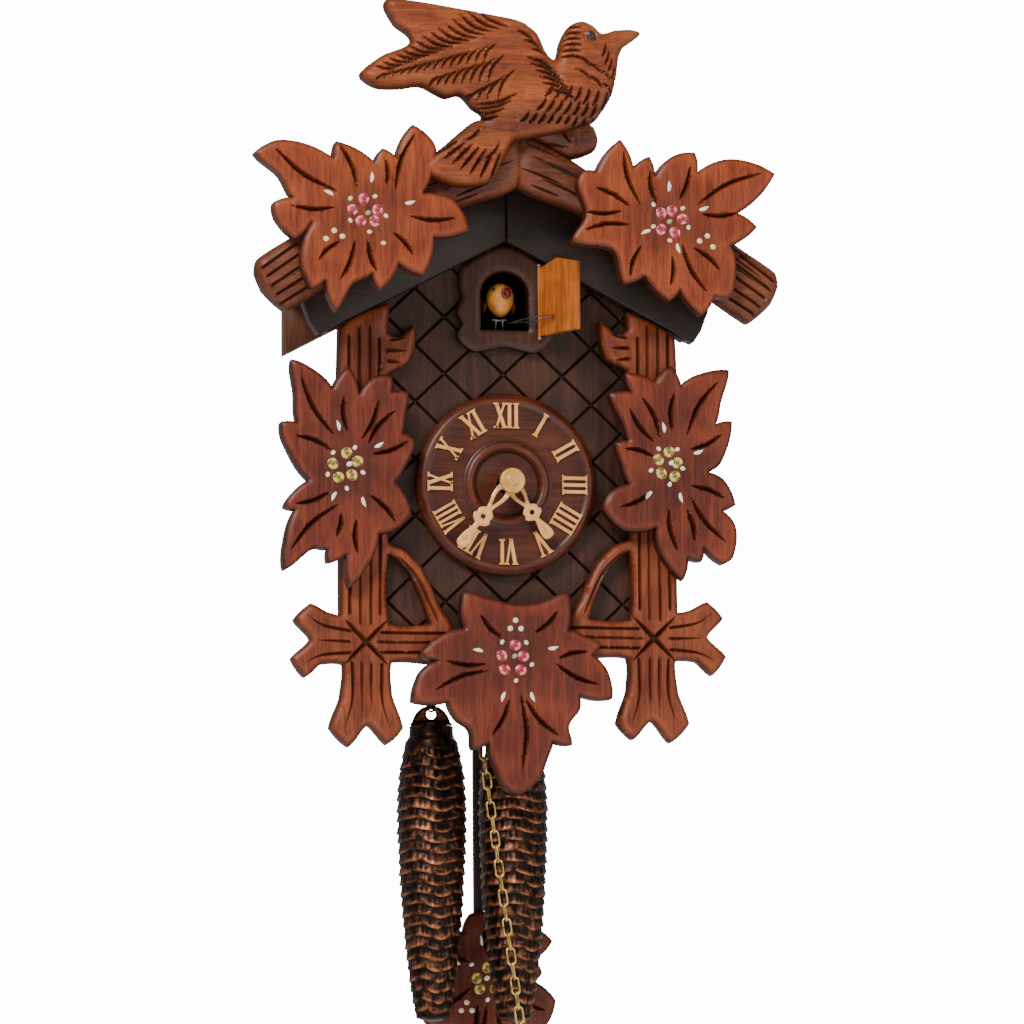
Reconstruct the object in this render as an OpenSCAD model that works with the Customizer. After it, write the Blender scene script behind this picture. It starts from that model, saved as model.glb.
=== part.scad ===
// Carved wooden cuckoo clock: chain-driven movement, pendulum, and a bird behind a small door.
// Millimetres, +Z up. The wall lies along Y = 0 and the dial faces -Y.
// Origin: centre of the wall hook hole, on the back face of the hanger plate.

/* [Case] */
// Width of the case over its side boards
case_w = 96; // [90:1:112]
// Depth from the wall to the front of the front panel
case_d = 77; // [74:1:92]
// Height from the hook hole down to the underside of the case
case_drop = 141; // [138:1:165]
// Thickness of the case boards
board_t = 5; // [3:0.5:6]
// Slope of the roof in degrees
roof_slope = 28; // [22:1:33]
// Height of the roof's underside above the hook hole, at the ridge
ridge_h = 29; // [26:1:36]
// Width of the roof across its eaves
roof_w = 140; // [130:1:160]
// How far the roof runs out in front of the front panel
roof_overhang = 23; // [15:1:32]
// Radius of the wall hook hole
hook_r = 4; // [3:0.25:5]

/* [Carving] */
// Thickness of each carved leaf
leaf_t = 7; // [5:0.5:9]
// Thickness of the posts and of the gable boards
trim_t = 7; // [5:0.5:9]
// Thickness of the log branches along the roof
branch_t = 9; // [7:0.5:12]
// Thickness of the carved bird on the roof
bird_t = 9; // [6:0.5:12]

/* [Dial and door] */
// Radius of the dial
dial_r = 33.5; // [30:0.5:36]
// Depth of the hands' centre below the hook hole
dial_drop = 86; // [84:0.5:92]
// Thickness of the dial
dial_t = 7; // [5:0.5:8]
// Length of the minute hand
minute_len = 31; // [24:0.5:32]
// Length of the hour hand
hour_len = 25; // [18:0.5:26]
// Width of the cuckoo's doorway
doorway_w = 18; // [16:0.5:20]
// How far the cuckoo's door stands open, in degrees
door_open = 115; // [100:1:118]

/* [Movement] */
// Distance between the movement's plates
plate_gap = 34.5; // [33:0.5:38]
// Pitch radius of the chain on its sprocket
sprocket_r = 7.5; // [7:0.1:8]
// Distance of the time wheel left of the centre
time_x = 14; // [13:0.5:15]
// Distance of the strike wheel right of the centre
strike_x = 16.5; // [16:0.25:17]
// Distance of the pendulum right of the centre
pendulum_x = 2; // [0:0.25:3]
// Length of the pendulum from its pivot to the middle of the bob
pendulum_len = 208; // [195:1:225]
// Height of each pine cone weight below its eye
weight_h = 113; // [95:1:120]
// Greatest radius of each weight
weight_r = 13; // [11:0.25:13]
// Wire thickness of the chain
wire_d = 0.85; // [0.7:0.05:1]
// Distance from one link to the next
link_pitch = 5.4; // [5:0.1:6]
// Running clearance of a shaft in its hole
run_gap = 0.05; // [0.03:0.01:0.08]

/* [Hidden] */
$fn = 48;
air = 0.3;
fall = tan(roof_slope);
half_w = case_w / 2;
panel_back = -case_d + board_t;
panel_face = -case_d;
trim_face = panel_face - trim_t;
roof_front = panel_face - roof_overhang;
branch_face = roof_front - branch_t;
roof_t = 5;
floor_top = -case_drop + board_t;
dial_z = -dial_drop;
surround_t = 4;
surround_face = panel_face - surround_t;
rail_t = 10;
rail_h = 21;
rail_out = roof_w / 2 - 1;

// Movement depths, from the front plate back
plate_t = 1.5;
front_plate_y = -62.5;
back_plate_y = front_plate_y + plate_gap;
chain_y = -46;
plate_half = 32;
plate_top = -44;
plate_low = -122;

// Gear sizes: [teeth, module]
drive = [24, 0.6];
centre = [36, 0.6];
great = [72, 0.45];
second_leaf = [8, 0.45];
second = [56, 0.55];
escape_leaf = [7, 0.55];
cannon = [12, 0.5];
minute = [36, 0.5];
minute_leaf = [10, 0.48];
hour = [40, 0.48];
strike = [60, 0.45];
pin_leaf = [10, 0.45];
pins = [50, 0.45];
fly_leaf = [8, 0.45];
function reach(a, b) = (a[0] * a[1] + b[0] * b[1]) / 2;
function from(p, r, a) = [p[0] + r * cos(a), p[1] + r * sin(a)];
function bearing(p, q) = atan2(q[1] - p[1], q[0] - p[0]);
// Turn of gear b that meshes with gear a turned by t, when b lies at bearing g from a
function mesh(t, a, b, g) = g + 180 - 180 / b[0] - (t - g) * a[0] / b[0];

// Arbor places seen from the front: [x, z]
hands_at = [0, dial_z];
drive_low = sqrt(pow(reach(drive, centre), 2) - time_x * time_x);
great_at = [-time_x, dial_z - drive_low];
escape_at = [pendulum_x, dial_z + 17.5];
great_escape = norm(escape_at - great_at);
arm_a = reach(great, second_leaf);
arm_b = reach(second, escape_leaf);
elbow = acos((arm_a * arm_a + great_escape * great_escape - arm_b * arm_b) / (2 * arm_a * great_escape));
second_at = from(great_at, arm_a, bearing(great_at, escape_at) + elbow);
minute_at = from(hands_at, reach(cannon, minute), -90);
strike_at = [strike_x, great_at[1]];
pin_at = from(strike_at, reach(strike, pin_leaf), 80);
fly_at = from(pin_at, reach(pins, fly_leaf), 60);
escape_r = 9;
escape_teeth = 40;
anchor_at = escape_at + [0, 14];
drive_turn = bearing(great_at, hands_at);
centre_turn = mesh(drive_turn, drive, centre, drive_turn);
great_turn = bearing(great_at, second_at);
second_turn = mesh(great_turn, great, second_leaf, great_turn);
second_wheel_turn = bearing(second_at, escape_at);
escape_turn = mesh(second_wheel_turn, second, escape_leaf, second_wheel_turn);
minute_turn = mesh(-90, cannon, minute, -90);
hour_turn = mesh(90, minute_leaf, hour, 90);
pin_turn = mesh(80, strike, pin_leaf, 80);
fly_turn = mesh(60, pins, fly_leaf, 60);

// Lays a drawing upright: its back lies on the plane y and it is t thick towards the front
module upright(y, t) translate([0, y, 0]) rotate([90, 0, 0]) linear_extrude(t) children();
// Round bar along Y at p = [x, z], from y0 (front) to y1 (back)
module bar(p, y0, y1, r) translate([p[0], y1, p[1]]) rotate([90, 0, 0]) cylinder(h = y1 - y0, r = r);
// Plain block from corner a to corner b
module block(a, b) translate(a) cube(b - a);

// ---- Case ----
function roof_z(x) = ridge_h - abs(x) * fall;

module panel_shape() polygon([[-half_w, -case_drop], [half_w, -case_drop],
  [half_w, roof_z(half_w)], [0, ridge_h], [-half_w, roof_z(half_w)]]);

doorway_low = -29;
doorway_spring = -7 - doorway_w / 2;
module doorway(grow) {
  r = doorway_w / 2 + grow;
  translate([0, doorway_spring]) circle(r);
  translate([-r, doorway_low - grow]) square([2 * r, doorway_spring - doorway_low + grow]);
}

pipe_r = 2.6;
module front_panel() color("#3a2014") upright(panel_back, board_t) difference() {
  panel_shape();
  doorway(0.5);
  translate(hands_at) circle(pipe_r + 2.4);
}

module side() color("#5a3018") {
  block([half_w - board_t, panel_back, -case_drop], [half_w, -rail_t, roof_z(half_w) - 0.5]);
  block([half_w - board_t, -rail_t - 1, -case_drop], [half_w, 0, rail_low]);
}
module left_side() mirror([1, 0, 0]) side();
module right_side() side();

slot_half = 12;
cover_pin = [-half_w + board_t + 2.1, -2.4];
module case_floor() color("#4a2a18") difference() {
  block([-half_w + board_t, panel_back, -case_drop], [half_w - board_t, 0, floor_top]);
  for (x = [-time_x, strike_x]) block([x - slot_half, chain_y - 9, -case_drop - 1],
    [x + slot_half, chain_y + 7, floor_top + 1]);
  block([pendulum_x - 11, -24, -case_drop - 1], [pendulum_x + 11, -9, floor_top + 1]);
  translate([cover_pin[0], cover_pin[1], -case_drop - 1]) cylinder(h = board_t + 2, r = 1 + run_gap);
}

// Gable-shaped board across the back, under the roof
rail_low = -18;
latch_at = [34, -14];
latch_pin_r = 1;
module back_rail() color("#8a6238") {
  rail_board();
  bar(latch_at, -2, -0.1, latch_pin_r);
}
module rail_board() difference() {
  upright(0, rail_t) difference() {
    polygon([[-rail_out, roof_z(rail_out)], [0, ridge_h], [rail_out, roof_z(rail_out)],
      [rail_out, roof_z(rail_out) - rail_h], [half_w, roof_z(half_w) - rail_h], [half_w, rail_low],
      [-half_w, rail_low], [-half_w, roof_z(half_w) - rail_h], [-rail_out, roof_z(rail_out) - rail_h]]);
    circle(hook_r);
  }
  upright(0, 1.2) hanger_outline(air / 2);
  translate([cover_pin[0], cover_pin[1], rail_low - 1]) cylinder(h = 7, r = 1 + run_gap);
  block([latch_at[0] - 3, -1.6, rail_low - 1], [latch_at[0] + 13, 1, latch_at[1] + 3]);
}
module hanger_outline(grow) translate([-14 - grow, -8 - grow]) square([28 + 2 * grow, 18 + 2 * grow]);
module hanger_plate() color("#b08a3c") upright(0, 1.2) difference() {
  hanger_outline(0);
  circle(hook_r);
  for (x = [-10.5, 10.5]) translate([x, 1]) circle(1.2);
}

module roof_board(s) color("#4a2a18") upright(-2, -2 - roof_front)
  polygon([[0, ridge_h], [s * roof_w / 2, roof_z(roof_w / 2)],
    [s * roof_w / 2, roof_z(roof_w / 2) + roof_t], [0, ridge_h + roof_t]]);
module roof_left() roof_board(-1);
module roof_right() roof_board(1);

// Two mitred boards under the gable, with scalloped outer ends
fascia_drop = 25.5;
mitre = 0.15;
module fascia_half() difference() {
  polygon([[mitre, ridge_h - fascia_drop], [mitre, roof_z(mitre)], [roof_w / 2, roof_z(roof_w / 2)],
    [76, -20], [73, -28], [69, -34], [62, roof_z(62) - fascia_drop + 1]]);
  translate([67, -36]) circle(4.5);
}
module gable_fascia() color("#2a1610") for (s = [0, 1]) mirror([s, 0, 0])
  upright(panel_face, trim_t) fascia_half();

// ---- Carving ----
branch_shape = [[0, 20], [0, 39], [19, 31], [30, 24.5], [60, 15], [84, -1], [96, -9], [97, -14], [94, -21],
  [86, -28], [82, -26], [73, -20], [50, -4], [21, 12]];
module branch() color("#6a3a20") upright(roof_front, branch_t) difference() {
  polygon(branch_shape);
  translate([-1, 0]) square([1.1, 60]);
}
module left_branch() mirror([1, 0, 0]) branch();
module right_branch() branch();

module perch_log() color("#6a3a20") upright(roof_front, branch_t)
  polygon([[-18.9, 31.1], [0, 39.1], [19, 31.1], [28.5, 34], [30, 38], [28.5, 43], [24, 45],
    [6, 44.5], [-6, 42.5], [-16, 37.5]]);

bird_shape = [[-50, 86], [-50.5, 83], [-47, 77], [-41, 71], [-52, 65], [-59.5, 59], [-59, 56.5],
  [-53.5, 53.5], [-45, 53.5], [-37.5, 54.5], [-28.5, 50.5], [-23, 51.5], [-18.5, 47], [-14.7, 44],
  [-19, 41.5], [-30, 32], [-36.5, 26.5], [-38, 24.5], [-31, 20], [-25, 18.5], [-19.5, 18.3],
  [-12, 20], [-9, 24.5], [-7.5, 27.5], [-3.5, 35], [1.5, 36.5], [13.5, 39], [21.5, 41.5], [27, 43.5],
  [32.8, 52.5], [34.8, 59.5], [36, 67.5], [37.6, 71], [41, 73.5], [44, 76.5], [40.8, 77.8],
  [34.5, 77.3], [29.6, 76], [26.3, 78.8], [22.3, 80.2], [17.5, 78.3], [14.3, 72.5], [13.2, 67.5],
  [11.9, 65.5], [9, 68], [5.4, 75.5], [-1, 79.7], [-10.7, 81.5], [-27, 84], [-40, 85.7]];
// Its tail is cut to fit round the leaf at its left
module crown_bird() color("#7a4424") upright(branch_face, bird_t) difference() {
  polygon(bird_shape);
  offset(delta = air) top_left_outline();
}

// Outlines of the carved leaves about their flowers
top_left_shape = [[-42, 21], [-31, 26], [-13, 20], [-12, 26], [2, 19], [5, 24], [10, 21], [16, 33],
  [23, 28], [25, 23], [20, 8], [31, 6], [37, -5], [24, -8], [20, -22], [11, -18], [4, -28], [1, -22],
  [-6, -26], [-12, -36], [-16, -25], [-21, -28], [-25, -17], [-21, -4], [-27, -10], [-34, -3],
  [-35, 3], [-28, 5], [-33, 13]];
top_right_shape = [[-18, 30], [-13, 20], [-7, 24], [-5, 17], [1, 24], [10, 26], [11, 19], [24, 24],
  [40, 19], [26, 4], [33, -1], [23, -8], [25, -16], [23, -27], [17, -27], [12, -34], [4, -25],
  [0, -29], [-9, -20], [-17, -23], [-20, -12], [-23, -10], [-36, -8], [-31, 2], [-34, 13],
  [-32, 18], [-27, 18]];
left_shape = [[-21, 38], [-12, 34], [-6, 28], [0, 36], [4, 26], [9, 32], [16, 33], [16, 27], [22, 27],
  [21, 18], [20, 12], [24, 10], [24, 6], [17, -6], [23, -17], [18, -23], [11, -25], [8, -35],
  [0, -45], [-1, -33], [-8, -36], [-8, -31], [-13, -31], [-24, -39], [-24, -29], [-20, -17],
  [-24, -16], [-21, -11], [-15, -6], [-24, 8], [-25, 15], [-19, 15], [-20, 26]];
right_shape = [[22, 35], [10, 33], [4, 29], [0, 36], [-6, 30], [-17, 33], [-15, 26], [-23, 25],
  [-18, 14], [-16, 8], [-21, 7], [-19, 0], [-16, -8], [-23, -11], [-26, -17], [-18, -25], [-6, -24],
  [-5, -32], [4, -43], [6, -35], [11, -36], [12, -31], [19, -37], [23, -34], [24, -23], [19, -17],
  [24, -15], [20, -6], [14, -3], [19, 1], [23, 16], [17, 15], [19, 23]];
bottom_shape = [[1, 19], [10, 20], [20, 24], [21, 18], [20, 10], [26, 8], [32, 5], [29, 1], [34, -4],
  [36, -10], [36, -15], [24, -14], [24, -19], [20, -25], [21, -32], [14, -31], [12, -37], [9, -44],
  [2, -50], [-4, -48], [-7, -42], [-10, -32], [-16, -34], [-17, -27], [-22, -23], [-25, -17],
  [-38, -17], [-36, -8], [-33, -4], [-29, -2], [-35, 0], [-28, 7], [-19, 10], [-19, 23], [-9, 21]];
module leaf(shape, x, z, y) color("#8a4a26") upright(y, leaf_t) translate([x, z]) polygon(shape);
module top_left_outline() translate([-57, 7]) polygon(top_left_shape);
module top_left_leaf() color("#8a4a26") upright(branch_face, leaf_t) top_left_outline();
module top_right_leaf() leaf(top_right_shape, 54, 7, branch_face);
module left_leaf() leaf(left_shape, -60, -81, trim_face);
module right_leaf() leaf(right_shape, 60, -78, trim_face);
module bottom_leaf() leaf(bottom_shape, 1, -150, trim_face);

// Post with forked cross arm, foot, upper spur and the vine that braces it
post_out = 62;
post_in = 44;
function under_fascia(x) = roof_z(x) - fascia_drop - air;
post_shape = [[post_out, under_fascia(post_out)], [post_in, under_fascia(post_in)], [44, -31],
  [40, -33], [34, -28], [34, -36], [36, -42], [44, -47], [44, -108], [38, -111], [32, -117],
  [28, -125], [25, -132], [21, -138], [21, -152], [43, -152], [43, -164], [39, -176], [45, -182],
  [52, -175], [59, -183], [66, -176], [62, -165], [61, -153], [69, -153], [75, -158], [80, -151],
  [73, -144], [79, -137], [73, -131], [67, -134], [62, -135]];
vine_gap = [[44, -113], [37, -118], [33, -126], [30, -134], [29, -138], [44, -138]];
module post() color("#7a4020") upright(panel_face, trim_t) difference() {
  polygon(post_shape);
  polygon(vine_gap);
}
post_rise = 3;
module left_post() mirror([1, 0, 0]) post();
module right_post() translate([1.5, 0, 0]) intersection() {
  translate([0, 0, post_rise]) post();
  block([0, trim_face - 1, -200], [100, panel_face + 1, under_fascia(post_out) + 100]);
  upright(panel_face, trim_t) polygon([[0, -200], [100, -200], [100, under_fascia(100 + 1.5)],
    [0, under_fascia(1.5)]]);
}

// ---- Dial and hands ----
dial_face = panel_face - dial_t;
module dial() color("#4a2014") translate([0, panel_face, dial_z]) rotate([90, 0, 0]) rotate_extrude()
  polygon([[pipe_r + 1, 0], [dial_r - 1, 0], [dial_r, 2], [dial_r, 4], [dial_r - 2, 5],
    [dial_r - 4, 5], [16, dial_t - 1.6], [15, dial_t - 1], [13, dial_t - 1], [12, dial_t - 3],
    [pipe_r + 2, dial_t - 3], [pipe_r + 1, dial_t - 3]]);

numeral_r = 25;
stroke_w = 1.1;
// Strokes of each hour: [offset along the rim, lean], counted from one to twelve
v = [[-1.3, 14], [1.3, -14]];
x_mark = [[0, 24], [0, -24]];
function bars(n, from_x) = [for (i = [0:n - 1]) [from_x + i * 2.2, 0]];
function moved(marks, dx) = [for (m = marks) [m[0] + dx, m[1]]];
hour_marks = [bars(1, 0), bars(2, -1.1), bars(3, -2.2), bars(4, -3.3), v,
  concat(moved(v, -1.3), [[3, 0]]), concat(moved(v, -2.2), bars(2, 2)),
  concat(moved(v, -3.2), bars(3, 0.8)), concat([[-3, 0]], moved(x_mark, 1)), x_mark,
  concat(moved(x_mark, -1), [[3, 0]]), concat(moved(x_mark, -2.2), bars(2, 1.6))];
module numerals() color("#e8cfa0") for (h = [1:12]) upright(panel_face - 5.3, 1)
  translate(hands_at) rotate(-30 * h) translate([0, numeral_r]) for (m = hour_marks[h - 1])
    translate([m[0], 0]) rotate(m[1]) square([stroke_w, 9.4], center = true);

// A carved hand pointing to its angle, clockwise from twelve
module hand(len, hub, angle) translate(hands_at) rotate(-angle) difference() {
  union() {
    circle(hub);
    polygon([[-1.6, 0], [1.6, 0], [2.4, len * 0.3], [1.4, len * 0.52], [2.2, len * 0.72],
      [0.8, len], [-0.8, len], [-2.2, len * 0.72], [-1.4, len * 0.52], [-2.4, len * 0.3]]);
    translate([0, len * 0.56]) circle(2.9);
  }
  circle(hub - 1.2 + run_gap / 2);
  translate([0, len * 0.56]) circle(0.8);
}
minute_r = 1.4;
hand_base = dial_face - 2.5;
hand_t = 1;
module hour_hand() color("#ecd9ac") upright(hand_base, hand_t) hand(hour_len, pipe_r + 1.2, 143);
module minute_hand() color("#ecd9ac") upright(hand_base - 3, hand_t)
  hand(minute_len, minute_r + 1.2, 219);
module hand_nut() color("#d9b860") difference() {
  bar(hands_at, hand_base - 7, hand_base - 3 - hand_t, 4.6);
  bar(hands_at, hand_base - 5.9, hand_base - 3, minute_r);
}

// Ring round the doorway with a pointed top and a wavy outline
hinge_x = doorway_w / 2 + 3.5;
hinge_y = surround_face - 1.1;
door_low = -31;
door_high = -6;
hinge_pin_r = 0.55;
module door_surround() color("#3a1e12") {
  upright(panel_face, surround_t) surround_shape();
  for (z = [door_low - 1.6, door_high + 0.3]) difference() {
    block([hinge_x - 1.1, hinge_y - 1.1, z], [hinge_x + 1.1, surround_face, z + 1.3]);
    translate([hinge_x, hinge_y, z - 1]) cylinder(h = 4, r = hinge_pin_r + run_gap);
  }
}
module surround_shape() difference() {
  polygon([[0, 2.2], [-16, -6], [-17, -12], [-16, -17], [-18, -22], [-16, -27], [-18, -31], [-15, -35],
    [-11, -37], [-5, -36], [0, -35], [5, -36], [11, -37], [15, -35], [18, -31], [16, -27],
    [18, -22], [16, -17], [17, -12], [16, -6]]);
  doorway(0);
}

// ---- Wheels ----
function tooth(n, m) = [[-0.3, n / 2 - 1.25], [-0.19, n / 2], [-0.08, n / 2 + 0.8],
  [0.08, n / 2 + 0.8], [0.19, n / 2], [0.3, n / 2 - 1.25]];
module gear(g, turn) polygon([for (i = [0:g[0] - 1], p = tooth(g[0], g[1]))
  let (a = turn + (i + p[0]) * 360 / g[0]) g[1] * p[1] * [cos(a), sin(a)]]);
// A wheel with round crossings between hub and rim
module wheel(g, turn) {
  r = g[0] * g[1] / 2;
  difference() {
    gear(g, turn);
    for (a = [0:72:288]) rotate(a + turn) translate([r * 0.55, 0]) circle(r * 0.24);
  }
}
module wheel_at(p, y, t) upright(y, t) translate(p) children();

// Arbor pivots run in the plates' holes
pivot_r = 0.9;
bush_r = 3.4;
bush_back = front_plate_y + 5;
centre_y = bush_back + 0.6;
hammer_at = [29, -54];
pillars = [[-29, -50], [27, -50], [-29, -116], [29, -116]];
ear_at = [0, -41];
module plate_shape(holes) difference() {
  translate([-plate_half, plate_low]) square([2 * plate_half, plate_top - plate_low]);
  for (h = holes) translate(h) circle(pivot_r + run_gap);
}
stud_r = 1;
work_holes = [great_at, strike_at, second_at, pin_at, fly_at, escape_at];
module front_plate() color("#c9a24a") {
  difference() {
    union() {
      upright(front_plate_y, plate_t) plate_shape(work_holes);
      bar(hands_at, front_plate_y - plate_t, bush_back, bush_r);
      for (s = [-1, 1]) block([s * 9 - 1, front_plate_y - plate_t, plate_top - 1],
        [s * 9 + 1, front_plate_y + 4, ear_at[1] + 2.5]);
    }
    bar(hands_at, front_plate_y - 9, bush_back + 1, minute_r + run_gap);
    translate([-12, front_plate_y + 1.5, ear_at[1]]) rotate([0, 90, 0])
      cylinder(h = 24, r = 1 + run_gap);
    bar(anchor_at, front_plate_y - 4, bush_back, pivot_r + run_gap);
  }
  bar(minute_at, -71, front_plate_y - plate_t, stud_r);
  for (s = [-1, 1], z = [-60, -112]) block([s > 0 ? plate_half : -half_w + board_t,
    front_plate_y - plate_t, z - 2], [s > 0 ? half_w - board_t : -plate_half, front_plate_y, z + 2]);
}
module back_plate() color("#c9a24a") {
  upright(back_plate_y + plate_t, plate_t) difference() {
    plate_shape(concat(work_holes, [anchor_at]));
  }
  for (p = pillars) bar(p, front_plate_y, back_plate_y, 1.8);
  bar(hammer_at, back_plate_y + plate_t, back_plate_y + 6, 1);
}

module arbor(p, y0, y1) {
  bar(p, y0, y1, 1.2);
  bar(p, front_plate_y - plate_t, y0, pivot_r);
  bar(p, y1, back_plate_y + plate_t, pivot_r);
}
end_play = 0.4;
module full_arbor(p) arbor(p, front_plate_y + end_play, back_plate_y - end_play);
great_y = -36.5;
second_y = -31.8;
escape_y = -37;
strike_y = -53.5;
pin_y = -38.8;
module great_wheel() color("#d8b355") {
  full_arbor(great_at);
  wheel_at(great_at, centre_y + 1.5, 1.5) rotate(0) gear(drive, drive_turn);
  wheel_at(great_at, great_y, 1.5) wheel(great, great_turn);
}
module centre_wheel() color("#d8b355") {
  bar(hands_at, hand_base - 5.8, centre_y + 1.6, minute_r);
  wheel_at(hands_at, centre_y + 1.5, 1.5) wheel(centre, centre_turn);
  wheel_at(hands_at, front_plate_y - plate_t - 0.6, 1.8) gear(cannon, -90);
}
module minute_wheel() color("#d8b355") difference() {
  union() {
    wheel_at(minute_at, front_plate_y - plate_t - 0.8, 1.4) wheel(minute, minute_turn);
    wheel_at(minute_at, front_plate_y - plate_t - 2.1, 3.2) gear(minute_leaf, 90);
  }
  bar(minute_at, -72, front_plate_y, stud_r + run_gap);
}
hour_y = front_plate_y - plate_t - 3.4;
module hour_wheel() color("#d8b355") difference() {
  union() {
    wheel_at(hands_at, hour_y, 1.5) wheel(hour, hour_turn);
    bar(hands_at, hand_base - hand_t, hour_y, pipe_r);
  }
  bar(hands_at, hand_base - 3, hour_y + 1, minute_r + run_gap);
}
module second_wheel() color("#d8b355") {
  full_arbor(second_at);
  wheel_at(second_at, great_y + 1, 3.5) gear(second_leaf, second_turn);
  wheel_at(second_at, second_y, 1.2) wheel(second, second_wheel_turn);
}
module escape_wheel() color("#d8b355") {
  full_arbor(escape_at);
  wheel_at(escape_at, second_y + 1, 3.2) gear(escape_leaf, escape_turn);
  wheel_at(escape_at, escape_y, 0.6) difference() {
    polygon([for (i = [0:escape_teeth - 1], p = [[0, 0.86], [0.12, 1], [0.22, 1], [0.62, 0.86]])
      escape_r * p[1] * [cos((i + p[0]) * 360 / escape_teeth), sin((i + p[0]) * 360 / escape_teeth)]]);
    for (a = [0:72:288]) rotate(a) translate([4.8, 0]) circle(2.4);
  }
}
// Pallet anchor with the wire leader that carries the pendulum behind the back plate
leader_y = -16;
module anchor() color("#b9b9bd") {
  bar(anchor_at, front_plate_y - plate_t, front_plate_y + 20, pivot_r);
  bar(anchor_at, front_plate_y + 20, back_plate_y - end_play, 1.1);
  bar(anchor_at, back_plate_y - end_play, leader_y + 1, pivot_r);
  upright(escape_y + 0.5, 2) translate(anchor_at) polygon([[-8.6, -7.2], [-7.6, -7], [-6, -3],
    [0, -1.4], [6, -3], [7.6, -7], [8.6, -7.2], [8, -2.4], [2, 2], [-2, 2], [-8, -2.4]]);
  bar(anchor_at, leader_y - 0.9, leader_y + 0.9, 2);
  block([pendulum_x - 0.7, leader_y - 0.9, anchor_at[1] - 14], [pendulum_x + 0.7, leader_y + 0.9, anchor_at[1]]);
}
rod_w = 3.6;
rod_top = anchor_at[1] - 11;
bob_z = anchor_at[1] - pendulum_len;
module pendulum_rod() color("#2a1812") difference() {
  block([pendulum_x - rod_w / 2, leader_y - 1.8, bob_z - 8], [pendulum_x + rod_w / 2, leader_y + 1.8, rod_top]);
  block([pendulum_x - 0.8, leader_y - 1, anchor_at[1] - 14.1], [pendulum_x + 0.8, leader_y + 1, rod_top + 1]);
}
bob_shape = [[-6, 24], [6, 24], [9, 17], [18, 19], [25, 14], [18, 7], [21, 2], [18, -1], [26, -8],
  [22, -18], [14, -19], [10, -30], [0, -40], [-10, -30], [-14, -19], [-22, -18], [-26, -8],
  [-18, -1], [-21, 2], [-18, 7], [-25, 14], [-18, 19], [-9, 17]];
module pendulum_bob() color("#6a2c1a") upright(leader_y - 1.8, 5) translate([pendulum_x + 2, bob_z])
  polygon(bob_shape);

module strike_wheel() color("#d8b355") {
  full_arbor(strike_at);
  wheel_at(strike_at, strike_y, 1.5) wheel(strike, 80);
}
module pin_wheel() color("#d8b355") {
  full_arbor(pin_at);
  wheel_at(pin_at, strike_y + 1, 3.5) gear(pin_leaf, pin_turn);
  wheel_at(pin_at, pin_y, 1.2) wheel(pins, 60);
  for (a = [0:60:300]) bar(from(pin_at, 8.4, a), pin_y, pin_y + 3, 0.5);
}
module fly() color("#c8c8cc") {
  full_arbor(fly_at);
  wheel_at(fly_at, pin_y + 1, 3.5) gear(fly_leaf, fly_turn);
  block([fly_at[0] - 7, -57, fly_at[1] - 0.3], [fly_at[0] + 7, -46, fly_at[1] + 0.3]);
}

// Gong coil on a post that stands on the back plate, behind it
gong_at = [18, -104];
gong_y = -10;
gong_wire = 0.8;
module gong() color("#8c8c90") {
  for (i = [0:4]) translate([gong_at[0] + (i % 2 == 0 ? 0 : 1.6), gong_y, gong_at[1]])
    rotate([90, i % 2 == 0 ? 0 : 180, 0]) rotate_extrude(angle = 180)
      translate([4 + 1.6 * i, 0]) circle(gong_wire);
  bar([gong_at[0] + 10.4, gong_at[1]], back_plate_y + plate_t, gong_y + 1.5, 1.8);
}
module hammer() color("#9a9aa0") {
  difference() {
    bar(hammer_at, back_plate_y + plate_t + air, back_plate_y + 5.5, 2.2);
    bar(hammer_at, back_plate_y, back_plate_y + 7, 1 + run_gap);
  }
  block([hammer_at[0] - 0.6, back_plate_y + 3, hammer_at[1] - 38], [hammer_at[0] + 0.6, back_plate_y + 4.4, hammer_at[1] - 2]);
  bar(hammer_at - [0, 38.5], back_plate_y + 2, gong_y + 2, 2.2);
}

// ---- Cuckoo ----
arm_pin_y = front_plate_y + 1.5;
bird_at = [0, -71.5, -17.5];
module cuckoo_arm() color("#a8a8ac") {
  translate([-11.5, arm_pin_y, ear_at[1]]) rotate([0, 90, 0]) cylinder(h = 23, r = 1);
  for (x = [-1.5, 1.5]) hull() {
    translate([x, arm_pin_y, ear_at[1]]) sphere(0.6, $fn = 16);
    translate([x, bird_at[1] + 1, bird_at[2] - 6.2]) sphere(0.6, $fn = 16);
  }
  block([-3, bird_at[1] - 1, bird_at[2] - 6.6], [3, bird_at[1] + 4, bird_at[2] - 6]);
}
module cuckoo() color("#e08a2a") union() {
  hull() {
    translate(bird_at + [0, 3, -1]) sphere(4.6, $fn = 24);
    translate(bird_at + [0, -1, 3.5]) sphere(4.2, $fn = 24);
  }
  translate(bird_at + [0, -4.4, 2.5]) rotate([90, 0, 0]) cylinder(h = 3, r1 = 1.9, r2 = 0.7);
}
module cuckoo_wings() color("#c05a20") for (s = [-1, 1]) hull() {
  translate(bird_at + [s * 5.7, 1, 0]) sphere(0.9, $fn = 16);
  translate(bird_at + [s * 5.2, 6, -3]) sphere(0.6, $fn = 16);
}

door_w = doorway_w + 3.5;
door_t = 2.4;
module door_at_rest() translate([hinge_x, hinge_y, 0]) rotate([0, 0, door_open]) translate([-hinge_x, -hinge_y, 0])
  children();
module cuckoo_door() color("#b86a34") door_at_rest() {
  upright(hinge_y, door_t) polygon([[hinge_x - 0.2, door_low], [hinge_x - 0.2, door_high],
    [hinge_x - door_w / 2, door_high + 2.6], [hinge_x - door_w, door_high], [hinge_x - door_w, door_low]]);
  translate([hinge_x, hinge_y, door_low - 1.6])
    cylinder(h = door_high - door_low + 3.2, r = hinge_pin_r);
}

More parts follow.
